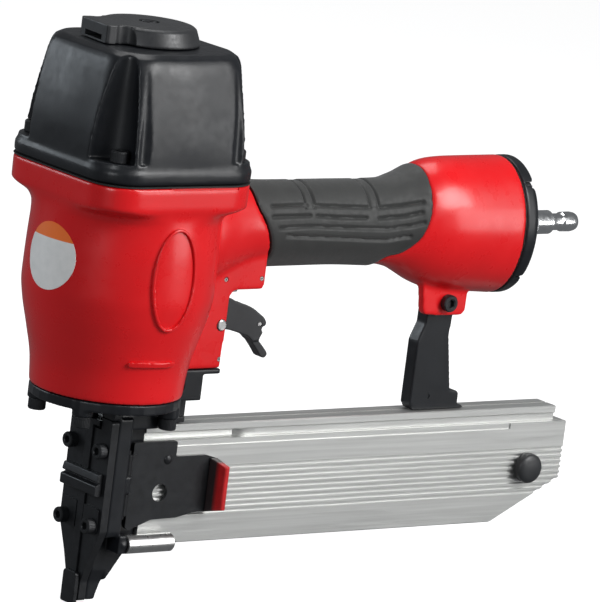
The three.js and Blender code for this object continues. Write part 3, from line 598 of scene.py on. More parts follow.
# (x, middle height, half-height, half-width) of the handle with the rear chamber's outside, and
# of the air space inside the chamber.
HANDLE = [
    (30, 203, 31, 25), (50, 204, 30, 23.5), (63, 206, 27, 21), (78, 207.8, 23.9, 19.2),
    (95, 208.2, 22.9, 18.4), (135, 208.2, 22.8, 18.2), (172, 207.6, 23.6, 18.8), (184, 208, 26.2, 20.4),
    (193, 207.7, 30, 22.8), (203, 207.4, 34.6, 25.8), (212, 206.6, 36.8, 27.6), (222, 206, 37.8, 28.6),
    (REAR_FACE, END_Z, 39.2, 29.6),
]
CHAMBER = [
    (200, 207.4, 14, 18), (211, 206.6, 30, 22), (222, 206, 33.4, 24.4), (REAR_FACE + 1, END_Z, 35.2, 25.6),
]

# The side outline's front and rear edges of the rubber sleeve, from (x, z) points.
GRIP_FRONT = [(77, 246), (76.6, 224), (82, 213), (86.8, 203), (89.2, 195), (88.4, 186), (88, 170)]
GRIP_REAR = [(166, 170), (171, 188.5), (181, 193.5), (188.8, 201.6), (193, 212), (195, 223), (197, 246)]
TRIGGER_PIN = middle("trigger_pin")
ROLL_PINS = [middle(f"roll_pin_{i}") for i in (1, 2, 3)]
BRACKET_BOLT = middle("bracket_bolt")


def barrel(grow=0.0):
    """The barrel's solid body and the square head on it, grown all round."""
    rows = eased(BARREL, 3)
    return loft("z", [(at, round_square(half + grow, corner + grow)) for at, half, corner in rows])


def ovals(grow, rows):
    return loft("x", [(at, ellipse(half_y + grow, half_z + grow, (0, mid)))
                      for at, mid, half_z, half_y in rows])


def handle(grow, low=0, high=1e3):
    """The solid handle and rear chamber, grown all round, between two places along X."""
    rows = [row for row in eased(HANDLE, 3) if low <= row[0] <= high]
    return ovals(grow, rows)


def grip_outline(grow):
    """The sleeve's side outline, widened at both ends."""
    front = [(x - grow, z) for x, z in smooth(GRIP_FRONT)]
    rear = [(x + grow, z) for x, z in smooth(GRIP_REAR)]
    return front + rear


def side_ring():
    """The raised oval on both sides of the barrel."""
    centre, half_x, half_z, rim = (-2, 190), 14, 28.2, 1.8
    outer = prism("y", ellipse(half_x, half_z, centre), -THROUGH, THROUGH)
    inner = prism("y", ellipse(half_x - rim, half_z - rim, centre), -THROUGH - 1, THROUGH + 1)
    return common(cut(outer, inner), barrel(RAISED))


def housing_holes():
    """The bores, slots and screw holes that are machined into the housing."""
    holes = [
        rod("z", HEAD_BORE, BORE_STEP, HEAD_TOP + 1, sides=96),
        rod("z", BARREL_BORE, BARREL_LOW - 1, BORE_STEP + 1, sides=96),
        rod("x", AIR_BORE, 20, 201, (0, GRIP_Z)),
        ovals(0, CHAMBER),
        block((46.5, 92), (-TRIGGER_ROOM, TRIGGER_ROOM), (120, 172.5)),
        block((45, 58), (-5.4, 5.4), (125, 131.5)),
        rod("z", VALVE_BORE, 170, 200, middle("valve_body")[:2]),
        rod("y", PIN_BORE, -20, 20, (TRIGGER_PIN[X], TRIGGER_PIN[Z])),
        rod("y", BOLT_BORE, -20, 5, (BRACKET_BOLT[X], BRACKET_BOLT[Z])),
        *[rod("y", 1.5, -20, 20, (pin[X], pin[Z]), 24) for pin in ROLL_PINS],
        block((-10, 34), (-THROUGH, 1.2 - HEAD_HALF), (HEAD_TOP - 1.3, HEAD_TOP + 1)),
    ]
    holes += [rod("z", 3.3, 227, HEAD_TOP + 1, at[:2], 24) for at in four("cap_screw")]
    holes += [rod("z", 2.8, BARREL_LOW - 1, 131, at[:2], 24) for at in four("base_screw")]
    return holes


def housing():
    """The red casting: barrel, head, handle, rear chamber, trigger leg and bracket lug."""
    shell = join(barrel(), handle(0))
    recessed = cut(shell, prism("y", grip_outline(0.5), -THROUGH, THROUGH))
    leg = filleted([(36, 131), (65.4, 131, 2), (66.3, 174.5, 5), (89, 174.5, 2.5), (89, 196), (36, 196)])
    lug = filleted([(204.6, 178), (208.2, 155.4, 4), (239, 154.4, 5), (239.6, 178)])
    body = join(recessed, handle(-WAIST, 63, 222), prism("y", leg, -CHEEK, CHEEK),
                prism("y", lug, -10, -4.7))
    cast(body, 1.1, 5)
    bar = common(prism("y", slab(14.5, 1.5, 1.4, (-4.5, 142.5)), -THROUGH, THROUGH), barrel(RAISED))
    join(body, cast(side_ring(), 0.5, 2), cast(bar, 0.5, 2))
    cut(body, *housing_holes())
    finish("housing_casting", body, "housing", angle=CAST_ANGLE)


def end_bosses():
    """The four posts in the rear chamber that the end cap's screws go into."""
    for i, (_, *seat) in enumerate(four("end_screw"), 1):
        post = common(rod("x", 5.2, 234, REAR_FACE - 0.2, seat), handle(-1.2, 222, REAR_FACE))
        cut(post, rod("x", 2.6, 236, REAR_FACE + 1, seat, 24))
        finish(f"chamber_post_{i}", soften(post, 0.3), slot="red_paint", body="tool_body")


def distance(point, start, end):
    """How far a point is from a straight stretch."""
    along = Vector(end) - Vector(start)
    away = Vector(point) - Vector(start)
    t = max(0.0, min(1.0, away.dot(along) / along.length_squared))
    return (away - along * t).length


# The grip's side grooves as (x, z) points.
GRIP_GROOVES = [
    [(86, 221.3), (111, 221.6)], [(115.8, 221.2), (134, 220.3), (154.5, 219.5)],
    [(160, 219.3), (176.4, 220.4), (189.5, 222.4)],
    [(86, 215.7), (112, 215.9)], [(116.8, 215.6), (134, 214.4), (151.5, 214)],
    [(160.2, 213.5), (177.4, 214.5), (188.5, 216.9)],
    [(91, 209.4), (112, 210.1), (129, 209.2), (151, 208.1), (167.6, 207.6), (183.7, 209.6), (190, 211.4)],
    [(97, 205), (113, 204.1), (136, 202.8), (152, 201.8), (168.6, 201.2), (182.5, 203.5)],
]
PANEL_GAPS = [112.6, 157.6]     # where the grip's upper panels part
PANEL_LOW = 219.5
GAP_HALF = 2.9
LIP = 2.0                       # width of the rounded edge round the sleeve


def groove(gap, half, depth):
    """A round-bottomed groove's depth at a distance from its middle line."""
    return depth * math.cos(min(gap / half, 1) * math.pi / 2) ** 2


def grip_dip(x, z, rim):
    """How far the sleeve's surface lies under its full size at a place on its side."""
    depth = 0.0
    for line in GRIP_GROOVES:
        for a, b in zip(line, line[1:]):
            if abs(z - a[1]) < 6 and a[0] - 3 < x < b[0] + 3:
                depth = max(depth, groove(distance((x, z), a, b), 1.6, 1.3))
    if z > PANEL_LOW:
        for at in PANEL_GAPS:
            for edge in (at - GAP_HALF, at + GAP_HALF):
                depth = max(depth, groove(abs(x - edge), 1.5, 1.2))
            if abs(x - at) < GAP_HALF:
                depth = max(depth, 0.35)
    edge = min(distance((x, z), a, b) for a, b in rim if abs(a[1] - z) < 14 or abs(b[1] - z) < 14)
    if edge < LIP:
        depth = max(depth, 1.0 - math.sqrt(1 - ((LIP - edge) / LIP) ** 2))
    return depth


def grip():
    """The rubber sleeve, with its grooves and panels worked into the surface."""
    thick, sides = 1.1, 220
    rim = [pair for line in (smooth(GRIP_FRONT, 4), smooth(GRIP_REAR, 4)) for pair in zip(line, line[1:])]
    sections = []
    for at, mid, half_z, half_y in eased(HANDLE, 0.7):
        if not 74 <= at <= 200:
            continue
        ring = []
        for u, v in ellipse(half_y + thick, half_z + thick, (0, mid), sides):
            dip = grip_dip(at, v, rim)
            away = Vector((u / half_y ** 2, (v - mid) / half_z ** 2)).normalized()
            ring.append((u - away.x * dip, v - away.y * dip))
        sections.append((at, ring))
    sleeve = common(loft("x", sections), prism("y", grip_outline(0), -THROUGH, THROUGH))
    leg_room = block((50, 89.3), (-CHEEK - 0.3, CHEEK + 0.3), (150, 198))
    cut(sleeve, handle(-2.5, 63, 222), leg_room)
    finish("grip_rubber_sleeve", sleeve, "grip_sleeve", angle=50)


def sticker():
    """A plain round sticker that follows the barrel's front."""
    centre_y, centre_z, radius, lift = -4, 194.3, 18.2, 0.22
    rows = eased(BARREL, 1.0)
    turns, rings, sunk = 72, 12, -0.4
    points, faces = [], []
    for depth in (lift, sunk):
        for ring in range(rings + 1):
            reach = radius * ring / rings
            for i in range(turns):
                turn = 2 * math.pi * i / turns
                y, z = centre_y + reach * math.cos(turn), centre_z + reach * math.sin(turn)
                half = min(rows, key=lambda row: abs(row[0] - z))[1] + depth
                points.append((-math.sqrt(half * half - y * y), y, z))
    layer = (rings + 1) * turns
    for start in (0, layer):
        for ring in range(rings):
            inner = start + ring * turns
            faces += band(inner, inner + turns, turns)
    faces += band(rings * turns, rings * turns + layer, turns)
    disc = mesh_object(points, faces)
    disc.name = disc.data.name = "round_sticker"
    dress(disc, label_paper(centre_z, radius))
    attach(disc, "tool_body")


# ---- cylinder cap ----

# (height, half-width, corner radius, bulge of the faces) of the cap's outside.
CAP = [
    (CAP_LOW, 50.4, 20.4, 0.2), (CAP_LOW + 1.4, 51.4, 21, 0.4), (CAP_LOW + 6, 51.5, 21, 0.4),
    (CAP_LOW + 8.6, 50.4, 20.6, 0.6), (256, 50.2, 20.6, 0.8), (266, 49.4, 20.5, 1.3), (280, 47.3, 20, 1.5),
    (293, 44.9, 19.5, 1.2), (302, 43, 19, 0.6), (306.8, 40.8, 18.5, 0.2), (CAP_TOP, 37.4, 18, 0),
]
CHANNEL_FLOOR = CAP_LOW + 10.7
DEFLECTOR_TURN = -5

# (height, centre x, centre y, half-width, half-depth) of the scoop over a cap screw, and of the
# narrow groove beside it.
CAP_SCOOP = [(CHANNEL_FLOOR, 48, 40.5, 15, 13.5), (275, 45.6, 39.4, 12.6, 11.4), (295, 42.5, 38, 9, 8.4),
             (CAP_TOP + 2, 39.5, 36.5, 6, 5.6)]
CAP_GROOVE = [(CHANNEL_FLOOR, 31.4, 53.4, 4.6, 4.6), (275, 31.2, 51.2, 4.2, 4.2), (295, 30.6, 47, 3.4, 3.4),
              (CAP_TOP + 2, 30, 42.4, 2.6, 2.6)]


def cap_channel(rows, side_x, side_y):
    return loft("z", [(at, ellipse(half_x, half_y, (side_x * x, side_y * y)))
                      for at, x, y, half_x, half_y in eased(rows, 4)])


def cylinder_cap():
    """The black cap, with a scoop over each screw and the exhaust ports in its top."""
    rows = eased(CAP, 2)
    shell = loft("z", [(at, round_square(half, corner, bulge)) for at, half, corner, bulge in rows])
    corners = [(side_x, side_y) for side_x in (1, -1) for side_y in (1, -1)]
    cut(shell, *[cap_channel(channel, *corner) for corner in corners for channel in (CAP_SCOOP, CAP_GROOVE)])
    cast(shell, 0.75, 7)
    roof = 298
    hollow = lathe("z", [(0, CAP_LOW - 1), (37, CAP_LOW - 1), (37, 257), (24, 262), (24, roof), (0, roof)])
    ports = [rod("z", 3, 290, CAP_TOP + 1, at, 32) for at in ((11, 0), (-11, 0), (0, 11), (0, -11))]
    cut(shell, hollow, rod("z", 2.8, 290, CAP_TOP + 1, sides=32), *ports)
    cut(shell, *[rod("z", 3.3, CAP_LOW - 1, CHANNEL_FLOOR + 1, at[:2], 32) for at in four("cap_screw")])
    finish("cap_casting", shell, "cylinder_cap", angle=CAST_ANGLE)


def deflector():
    """The exhaust cover with its open snout, drawn facing -X and then turned."""
    low, high = span("exhaust_deflector", Z)
    height, snout_height, reach, half = high - low, 9.8, 34, 14
    disc = lathe("z", [(0, 0), (28.2, 0), (28.4, 1), (27.6, 3.4), (25.8, 8.2), (24.2, 9.4), (0, height)])
    edge = [(0, -16), (-20, -16), (-27, -half), (-reach, -half, 1.5)]
    snout = filleted(edge + [(x, -y, *radius) for x, y, *radius in reversed(edge)])
    join(disc, prism("z", snout, 0, snout_height))
    cut(disc, *both(lambda side: rod("z", 5.6, -1, 12, (-25, side * 18.6))))
    cast(disc, 0.5, 2)
    gallery = join(rod("z", 16, -1, 5.5), block((-reach - 6, -14), (-8.5, 8.5), (1, 3.8)))
    join(cut(disc, gallery), rod("z", 6.5, 0, 8))
    cut(disc, rod("z", 2.9, -1, 12), rod("z", 5.6, 7.2, 12))
    moved(disc, (0, 0, low), Matrix.Rotation(math.radians(DEFLECTOR_TURN), 4, "Z"))
    finish("exhaust_cover", disc, "exhaust_deflector", angle=CAST_ANGLE)


# ---- screws, pins and turned pieces ----

TURN_TO = {
    "z": Matrix.Identity(4), "-z": Matrix.Rotation(math.pi, 4, "X"),
    "x": Matrix.Rotation(math.pi / 2, 4, "Y"), "-x": Matrix.Rotation(-math.pi / 2, 4, "Y"),
    "-y": Matrix.Rotation(math.pi / 2, 4, "X"),
}


def socket_screw(node, name, top, way):
    """A socket head screw in place of a CAD one, its head (top millimetres high) towards way."""
    axis = "xyz".index(way[-1])
    across = [span(node, k) for k in (X, Y, Z) if k != axis][0]
    radius = (across[1] - across[0]) / 2
    low, high = span(node, axis)
    length = high - low - top
    shank = radius * 0.56
    head = lathe("z", [(0, 0), (radius * 0.97, 0), (radius, 0.3), (radius, top - 0.7),
                       (radius * 0.9, top), (0, top)],
                 sides=144, wave=lambda turn: 1 - 0.022 * abs(math.sin(18 * turn)))
    lead_in = lathe("z", [(0, top - 0.45), (radius * 0.5, top - 0.45), (radius * 0.62, top + 0.1),
                          (0, top + 0.1)])
    socket = join(rod("z", radius * 0.52, top * 0.4, top + 1, sides=6), lead_in)
    thread = lathe("z", [(0, 0.2), (shank, 0.2), (shank, 0.8 - length), (shank * 0.8, -length), (0, -length)],
                   sides=32)
    screw = join(cut(head, socket), thread)
    at = list(middle(node))
    at[axis] = high - length if way[0] == "-" else low + length
    moved(screw, at, TURN_TO[way])
    finish(name, screw, node, angle=28)


def screws():
    for i in (1, 2, 3, 4):
        socket_screw(f"cap_screw_{i}", f"cap_socket_screw_{i}", 6, "z")
        socket_screw(f"base_screw_{i}", f"base_socket_screw_{i}", 6, "-z")
        socket_screw(f"nose_screw_{i}", f"nose_socket_screw_{i}", 5, "-x")
        socket_screw(f"end_screw_{i}", f"end_socket_screw_{i}", 5, "x")
    socket_screw("deflector_screw", "deflector_socket_screw", 2.6, "z")
    socket_screw("bracket_bolt", "bracket_socket_bolt", 4, "-y")


def pin(node, name, radius, bore=0.0):
    """A cross pin with broken ends, hollow where bore is given."""
    low, high = span(node, Y)
    x, _, z = middle(node)
    edge = radius * 0.82
    profile = [(bore, low), (edge, low), (radius, low + 0.35), (radius, high - 0.35), (edge, high),
               (bore, high)]
    finish(name, lathe("y", profile, (x, z), 48), node)


def pins():
    pin("trigger_pin", "trigger_cross_pin", 3.0)
    pin("lever_pin", "lever_cross_pin", 1.3)
    for i in (1, 2, 3):
        pin(f"roll_pin_{i}", f"rolled_pin_{i}", 1.25, 0.55)


def air_plug():
    """The quick-fit air plug: thread, hexagon, and a grooved nipple with a bore through it."""
    start, tip = span("air_plug", X)
    bore, neck, corner, flange = 2.6, 6.8, 9.6, 7.2
    hex_start, hex_end, shoulder = start + 7.9, start + 16.4, start + 29.9
    profile = [
        (bore, start), (flange, start), (flange, hex_start), (corner, hex_start), (corner, hex_end),
        (neck, hex_end + 1.2), (neck, shoulder), (6.2, shoulder + 0.7), (5.2, shoulder + 1.7),
        (4.8, shoulder + 3), (4.8, shoulder + 7.6), (5.2, shoulder + 9), (5.6, shoulder + 9.8),
        (5.7, shoulder + 16), (5.3, tip - 1.2), (4.8, tip), (3.2, tip), (bore, tip - 0.8),
    ]
    plug = lathe("x", profile, (0, END_Z))
    chamfers = [(0, start - 1), (8.8, start - 1), (8.8, hex_start - 0.9), (corner, hex_start + 0.5),
                (corner, hex_end - 1), (8.4, hex_end + 0.8), (0, hex_end + 0.8)]
    hexagon = common(prism("x", circle(corner, (0, END_Z), 6), start - 1, hex_end + 0.8),
                     lathe("x", chamfers, (0, END_Z)))
    common(plug, join(hexagon, rod("x", 8.2, hex_end, tip + 1, (0, END_Z))))
    finish("air_nipple", plug, "air_plug", angle=25)


def end_cap():
    """The domed rear cover with its screw pockets and the air inlet's boss."""
    crown = span("end_cap", X)[1]
    inlet = (0, END_Z)
    dome = [(REAR_FACE + 0.9, 0.3), (REAR_FACE + 1.6, 0)]
    steps = 8
    for i in range(steps + 1):
        turn = i / steps * math.pi / 2
        dome.append((REAR_FACE + 6.5 + 6.3 * math.sin(turn), 11 * (1 - math.cos(turn))))
    body = loft("x", [(at, ellipse(29.6 - inset, 39.2 - inset, inlet)) for at, inset in dome])
    boss = [(0, REAR_FACE + 5), (15.2, REAR_FACE + 5), (14, crown - 3), (12, crown), (0, crown)]
    join(body, lathe("x", boss, inlet))
    seats = [at[1:] for at in four("end_screw")]
    beyond = REAR_FACE + 30
    cut(body, *[rod("x", 5.3, REAR_FACE + 2.6, beyond, seat) for seat in seats])
    cast(body, 0.7, 3)
    cut(body, *[rod("x", 2.6, REAR_FACE - 10, beyond, seat, 24) for seat in seats],
        rod("x", 12, REAR_FACE - 1, REAR_FACE + 6, inlet), rod("x", 5, REAR_FACE, crown + 1, inlet),
        rod("x", 7.6, crown - 7.7, crown + 1, inlet))
    finish("rear_cap_casting", body, "end_cap", angle=CAST_ANGLE)


# ---- nose ----


def nose_plate():
    """The front plate, with its driver slot, clamp pad and waisted tip."""
    face, back = -6.3, -1.6
    side = [(6.5, 2.2, 1.5), (6.5, 13, 6), (11, 26, 5), (18.4, 43, 6), (18.4, 105, 2)]
    mirrored = [(-y, z, radius) for y, z, radius in reversed(side)]
    plate = prism("x", filleted(side + mirrored), face, back)
    pad = filleted([(16.5, 41.5, 3), (16.5, 56, 2), (-16.5, 56, 2), (-16.5, 41.5, 3)])
    join(plate, prism("x", pad, face - 1.2, face + 1))
    driver_slot = block((face - 3, face + 2.2), (-3.4, 3.4), (0, 110))
    notch = block((face - 3, 0), (-9.2, 9.2), (98.4, 110))
    cut(plate, driver_slot, notch, *[rod("x", 2.7, -12, 0, at[1:], 32) for at in four("nose_screw")])
    finish("nose_plate", soften(plate, 0.45, 3), "nose_front_plate")


def nose():
    """The nose casting and the plates and strips round it, on their CAD shapes."""
    finish("nose_casting", cast(cad_copy("nose_body"), 0.6, 3), "nose_body", angle=CAST_ANGLE)
    nose_plate()
    finish("strip_guide_block", soften(cad_copy("strip_guide"), 0.35), "strip_guide")
    finish("contact_shoe", soften(cad_copy("contact_foot"), 0.35), "contact_foot")
    finish("contact_fork", soften(cad_copy("contact_yoke"), 0.3), "contact_yoke")


# ---- trigger ----


def trigger():
    """The trigger's moulding, with its curled tongue and the room for its lever."""
    half, inner = 4.5, 2.8
    top = smooth([(71, 167.2), (75, 167.6), (80.6, 165), (86.1, 163.7), (91.7, 161.4), (96.1, 158.6),
                  (99.8, 156.1), (101.8, 153.4)], 5)
    rear = [(101.5, 151.4), (99.6, 150.8), (99.1, 149.2), (100.2, 147.6), (98.8, 145.2)]
    tongue = smooth([(98.2, 143.5), (101.9, 140), (105.4, 136.2), (105.6, 134.2), (103.8, 132.9),
                     (101.4, 133.8)], 5)
    front = smooth([(98, 138), (94, 142.4), (90.6, 145.4), (86, 147), (80.5, 148.7), (75, 150), (68, 150.6),
                    (62, 150.8)], 5)
    hub = smooth([(58.4, 153), (57.8, 157), (60.5, 160.2), (66, 162)], 5)
    body = prism("y", top + rear + tongue + front + hub, -half, half)
    cut(body, *both(lambda side: block((90, 110), sorted((side * 3.3, side * 9)), (120, 143))))
    cast(body, 0.4, 4)
    at = (TRIGGER_PIN[X], TRIGGER_PIN[Z])
    join(body, rod("y", 5, -6, 6, at))
    hollow = [(76, 176), (76, 156.5), (86, 152.5), (93, 149), (104, 149.4), (104, 176)]
    lever = middle("lever_pin")
    cut(body, block((50, 90), (-inner, inner), (158, 175)), prism("y", hollow, -inner, inner),
        rod("y", PIN_BORE, -12, 12, at), rod("y", 1.6, -12, 12, (lever[X], lever[Z]), 32))
    finish("trigger_moulding", body, "trigger", angle=CAST_ANGLE)
    finish("trigger_lever_plate", soften(cad_copy("trigger_lever"), 0.25), "trigger_lever")


# ---- magazine ----

MAG_START, MAG_END = span("magazine_cover", X)
MAG_LOW, MAG_HIGH = span("magazine_cover", Z)
RAIL_TOP = span("magazine_rail", Z)[1]
MAG_HALF = 11
COVER_THICK = 3.2


def slant():
    """The magazine's side outline, cut off at a slant under its rear end."""
    margin = 1
    return filleted([(MAG_START - margin, MAG_LOW), (276, MAG_LOW, 2), (MAG_END, 57.5, 2),
                     (MAG_END, MAG_HIGH + margin), (MAG_START - margin, MAG_HIGH + margin)])


def magazine_cover():
    """An extruded plate whose middle is ribbed, with soft edges to every rib."""
    out, back = -MAG_HALF, -MAG_HALF + COVER_THICK
    count, pitch, first, depth, half = 9, 3.1, 49.6, 1.1, 0.85
    # One groove's edge from its middle height: (depth, height), upwards to the middle and mirrored.
    lower = [(0, -half - 0.25), (0.25, -half), (depth - 0.2, -half + 0.1), (depth, -half + 0.35)]
    profile = lower + [(deep, -rise) for deep, rise in reversed(lower)]
    face = [(out + 0.5, MAG_LOW), (out, MAG_LOW + 0.5)]
    for i in range(count):
        face += [(out + deep, first + i * pitch + rise) for deep, rise in profile]
    face += [(out, MAG_HIGH - 0.5), (out + 0.5, MAG_HIGH), (back - 0.3, MAG_HIGH), (back, MAG_HIGH - 0.3),
             (back, MAG_LOW + 0.3), (back - 0.3, MAG_LOW)]
    plate = common(prism("x", face, MAG_START, MAG_END), prism("y", slant(), out - 1, back + 1))
    knob_x, _, knob_z = middle("cover_knob")
    wall = block((MAG_END - 4, MAG_END), (-MAG_HALF + 1, 4.2), (60, MAG_HIGH - 4))
    top_step = block((MAG_START - 1, 283), (out - 1, out + 0.9), (MAG_HIGH - 3.2, MAG_HIGH + 1))
    cut(join(plate, wall), top_step, rod("y", 3.3, -20, 0, (knob_x, knob_z)))
    finish("cover_extrusion", plate, "magazine_cover", angle=20)


def magazine_rail():
    """The extruded rail: a wall with shallow side grooves, and a T-shaped head above it."""
    inner, floor, room_side = -MAG_HALF + COVER_THICK + 0.5, 38, 4.5
    groove_deep = MAG_HALF - 0.8
    wall = [(inner, MAG_LOW), (MAG_HALF - 0.5, MAG_LOW), (MAG_HALF, MAG_LOW + 0.5)]
    for z in (51, 57, 63, 69, 75):
        wall += [(MAG_HALF, z - 0.9), (groove_deep, z - 0.6), (groove_deep, z + 0.6), (MAG_HALF, z + 0.9)]
    wall += [(MAG_HALF, MAG_HIGH - 0.5), (MAG_HALF - 0.5, MAG_HIGH), (inner, MAG_HIGH)]
    body = common(prism("x", wall, MAG_START, MAG_END), prism("y", slant(), -12, 12))
    cut(body, block((MAG_START - 1, MAG_END + 1), (-MAG_HALF, room_side), (floor, MAG_HIGH - 3)))
    neck, edge, lip, rear = 3.4, 8.6, RAIL_TOP - 4.2, 317.3
    half_head = [(neck, MAG_HIGH - 1), (neck, lip), (edge - 0.4, lip), (edge, lip + 0.4),
                 (edge, RAIL_TOP - 0.5), (edge - 0.5, RAIL_TOP), (0.8, RAIL_TOP), (0.8, RAIL_TOP - 0.9)]
    head = half_head + [(-y, z) for y, z in reversed(half_head)]
    # The slot under the head is milled open only along the front, and its end is round.
    run_out = [(88, neck), (93, 6.2), (101, 7.4)]
    filler = smooth([(x, -y) for x, y in run_out]) + [(rear, -7.4), (rear, 7.4)] + smooth(run_out[::-1])
    join(body, prism("x", head, MAG_START, rear), prism("z", filler, MAG_HIGH - 1, RAIL_TOP - 3.6))
    cut(body, *[rod("z", 2.6, 88, 101, (x, 0), 32) for x in (36, 226)])
    finish("rail_extrusion", body, "magazine_rail", angle=20)


def knob():
    """The cover's knurled knob on its stem."""
    low, high = span("cover_knob", Y)
    x, _, z = middle("cover_knob")
    rim, stem = low + 6.3, 3
    profile = [(0, low), (5.4, low), (7.6, low + 0.7), (8.4, low + 1.7), (8.6, low + 2.6), (8.6, rim - 0.5),
               (8.2, rim), (stem, rim), (stem, high), (0, high)]
    body = lathe("y", profile, (x, z), 144, wave=lambda turn: 1 - 0.012 * abs(math.sin(24 * turn)))
    finish("cover_grip_knob", body, "cover_knob", angle=40)


def latch_plate(out, back, rivet_at):
    """The sprung plate with its sight hole, rivet hole and two hinge curls."""
    hinge = middle("latch_pin")[:2]
    side = filleted([(14, 44, 1), (16.5, 42.4, 1), (31, 47.6, 5), (48, 48, 5), (59, 50.4, 4), (70.6, 50.5),
                     (70.6, 80.6), (64, 82.5, 4), (43.4, 82.5, 1), (43.4, 91.2, 1.5), (14, 91.2, 1)])
    plate = prism("y", side, out, back)
    cut(plate, rod("y", 5, -20, 0, (35, 62.5)), rod("y", 1.9, -20, 0, rivet_at))
    for low, high in ((51, 63), (73, 85)):
        curl = rod("z", 2.4, low, high, hinge)
        join(plate, curl, block((hinge[0] + 0.5, 16), (out - 0.6, out + 1), (low, high)))
    cut(plate, rod("z", 1.35, 40, 96, hinge))
    finish("latch_spring_plate", soften(plate, 0.35), "latch_plate")


def latch_tab(root):
    """The red thumb tab that stands off the plate's rear edge."""
    tip = -25
    outline = filleted([(66.6, root), (71.6, root), (72.8, tip, 1.2), (69.4, tip - 0.4, 1.2)])
    fin = prism("z", outline, 50.6, 80.8)
    high_slant = prism("x", [(-26, 77.6), (-13, 81), (-13, 90), (-26, 90)], 60, 80)
    low_slant = prism("x", [(-26, 54), (-13, 50.4), (-13, 40), (-26, 40)], 60, 80)
    cut(fin, high_slant, low_slant)
    tab = finish("latch_thumb_tab", cast(fin, 0.35, 3), "latch_tab", angle=CAST_ANGLE)
    # The tab's finish paints shade near-black on the part towards the plate.
    tab.material_slots[0].material = tab_red_with_painted_shade(root - 7.5, root - 4.5)


def latch():
    out, back = -MAG_HALF - 2.6, -MAG_HALF - 0.3
    x, _, z = middle("latch_rivet")
    latch_plate(out, back, (x, z))
    latch_tab(out - 0.3)
    top = out - 1.3
    dome = [(0, top), (1.4, top + 0.15), (2.3, top + 0.6), (2.6, top + 1), (1.6, top + 1.1), (1.6, back),
            (0, back)]
    finish("latch_rivet_head", lathe("y", dome, (x, z), 48), "latch_rivet", slot="black_steel")


def guide_tube():
    """The bright tube beside the nose's tip, with broken edges."""
    low, high = span("guide_tube", X)
    bore, outside = 3.6, 5.1
    profile = [(bore, low), (outside - 0.2, low), (outside, low + 0.3), (outside, high - 0.6),
               (outside - 0.4, high), (bore + 0.3, high), (bore, high - 0.3)]
    finish("tip_guide_tube", lathe("x", profile, middle("guide_tube")[1:]), "guide_tube")


def bracket():
    """The arm from the rear chamber's lug down to the rail."""
    foot, half, bolt_x = span("support_bracket", Z)[0], 4.4, 226
    side = filleted([
        (216.4, 171, 2), (216.2, 149, 6), (211.9, 139, 8), (211.8, 103, 2), (214.4, foot), (251.4, foot),
        (250.4, foot + 1.5, 1), (246.6, foot + 2.7, 1), (246.6, 109.4, 2.4), (240, 110, 2), (234, 142, 8),
        (235, 153, 3), (235, 171, 2)])
    arm = cast(prism("y", side, -half, half), 0.6, 4)
    dimples = both(lambda hand: rod("y", 1.6, *sorted((hand * (half - 0.5), hand * 6)), (bolt_x - 2, 107)))
    cut(arm, rod("y", 3.1, -20, 3, (BRACKET_BOLT[X], BRACKET_BOLT[Z])), rod("z", 2.6, 90, 104, (bolt_x, 0)),
        *dimples)
    finish("support_arm", arm, "support_bracket", angle=CAST_ANGLE)


def carried_over():
    """The CAD nodes that stay: gaskets, springs and the parts inside. The hinge pin is blackened."""
    for name, node in frame["nodes"].items():
        if not node.hide_render:
            slot = "black_steel" if name == "latch_pin" else SLOT_OF[name]
            node.material_slots[0].material = FINISHES[slot]


# ---- stage ----

AZIMUTH, ELEVATION, ROLL = -39.5, 11.3, 7.2
CAMERA_FROM_AXIS = Vector((-1929.55, -2494.87, 809.62))
SENSOR, LENS = 36.0, 358.8


def camera():
    """A long lens, tilted a little, at the place that AZIMUTH and ELEVATION look from."""
    turn, rise, roll = (math.radians(angle) for angle in (-AZIMUTH, ELEVATION, ROLL))
    ahead = Vector((math.sin(turn) * math.cos(rise), math.cos(turn) * math.cos(rise), -math.sin(rise)))
    right = Vector((math.cos(turn), -math.sin(turn), 0))
    up = right.cross(ahead)
    across = right * math.cos(roll) + up * math.sin(roll)
    upward = up * math.cos(roll) - right * math.sin(roll)
    data = bpy.data.cameras.new("camera")
    data.sensor_width = SENSOR
    data.lens = LENS
    data.clip_end = 50
    obj = bpy.data.objects.new("camera", data)
    basis = Matrix((across, upward, -ahead)).transposed().to_4x4()
    obj.matrix_world = Matrix.Translation((CAMERA_FROM_AXIS + Vector((AXIS, 0, 0))) * MM) @ basis
    bpy.context.scene.collection.objects.link(obj)
    bpy.context.scene.camera = obj


def lamp(name, at, aim, size, power, color=(1, 1, 1)):
    """A soft rectangular lamp, in metres and watts."""
    data = bpy.data.lights.new(name, "AREA")
    data.shape = "RECTANGLE"
    data.size, data.size_y = size
    data.energy = power
    data.color = color
    obj = bpy.data.objects.new(name, data)
    obj.location = at
    obj.rotation_euler = (Vector(aim) - Vector(at)).to_track_quat("-Z", "Y").to_euler()
    bpy.context.scene.collection.objects.link(obj)


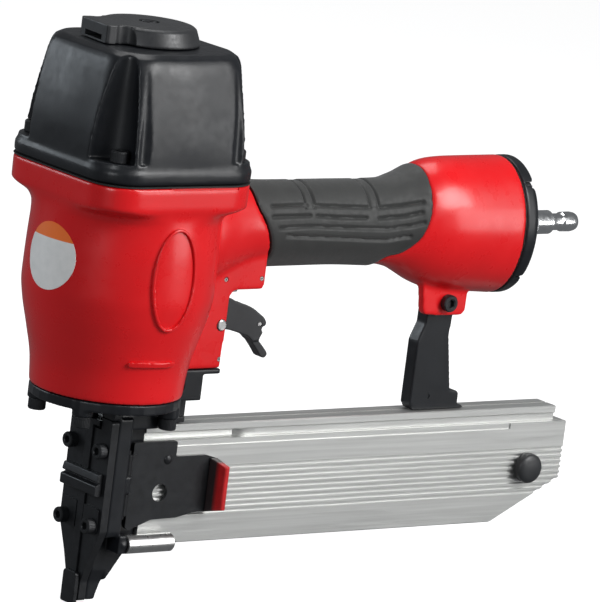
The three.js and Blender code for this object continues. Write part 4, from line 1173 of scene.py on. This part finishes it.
def studio():
    """A dim surround for the object, which the camera sees as plain white."""
    world = bpy.data.worlds.new("studio")
    world.use_nodes = True
    tree = world.node_tree
    soft = tree.nodes["Background"]
    soft.inputs["Color"].default_value = (0.93, 0.96, 1, 1)
    soft.inputs["Strength"].default_value = 0.15
    white = tree.nodes.new("ShaderNodeBackground")
    white.inputs["Color"].default_value = (1, 1, 1, 1)
    seen = tree.nodes.new("ShaderNodeLightPath").outputs["Is Camera Ray"]
    mix = tree.nodes.new("ShaderNodeMixShader")
    tree.links.new(seen, mix.inputs["Fac"])
    tree.links.new(soft.outputs["Background"], mix.inputs[1])
    tree.links.new(white.outputs["Background"], mix.inputs[2])
    tree.links.new(mix.outputs["Shader"], tree.nodes["World Output"].inputs["Surface"])
    bpy.context.scene.world = world


def stage():
    """The floor, the surround, and five soft lamps."""
    floor = bpy.data.meshes.new("floor")
    reach = 6.0
    corners = [(-reach, -reach, 0), (reach, -reach, 0), (reach, reach, 0), (-reach, reach, 0)]
    floor.from_pydata(corners, [], [(0, 1, 2, 3)])
    ground = bpy.data.objects.new("floor", floor)
    nodes = Nodes("floor_paper", (0.35, 0.35, 0.35), 0.9, Emission_Color=(1, 1, 1, 1),
                  Emission_Strength=0.86)
    nodes.vary_color(nodes.noise(400, 2), 0.01)
    floor.materials.append(nodes.material)
    bpy.context.scene.collection.objects.link(ground)
    # The floor shows white but throws no light back up, as a deep white sweep does.
    ground.visible_diffuse = False
    ground.visible_glossy = False
    studio()
    lamp("key", (0.8, -1.5, 1.2), (0.08, 0, 0.17), (0.9, 0.9), 34)
    lamp("front", (1.35, -1.7, 0.35), (0.08, 0, 0.17), (0.8, 0.8), 10)
    lamp("fill", (-1.6, -0.9, 0.7), (0.0, 0, 0.2), (0.5, 0.9), 9, (0.94, 0.97, 1))
    lamp("rim", (-0.9, 1.6, 0.7), (0.1, 0, 0.2), (0.9, 0.7), 9, (0.85, 0.93, 1))
    lamp("top", (0.3, 0.5, 1.9), (0.1, 0, 0), (1.2, 1.2), 15)
    bpy.context.scene.view_settings.view_transform = "Standard"


def build():
    pieces = (housing, end_bosses, grip, sticker, cylinder_cap, deflector, screws, pins, air_plug, end_cap,
              nose, trigger, magazine_cover, magazine_rail, knob, latch, guide_tube, bracket)
    for make in (*pieces, carried_over, camera, stage):
        make()


build()
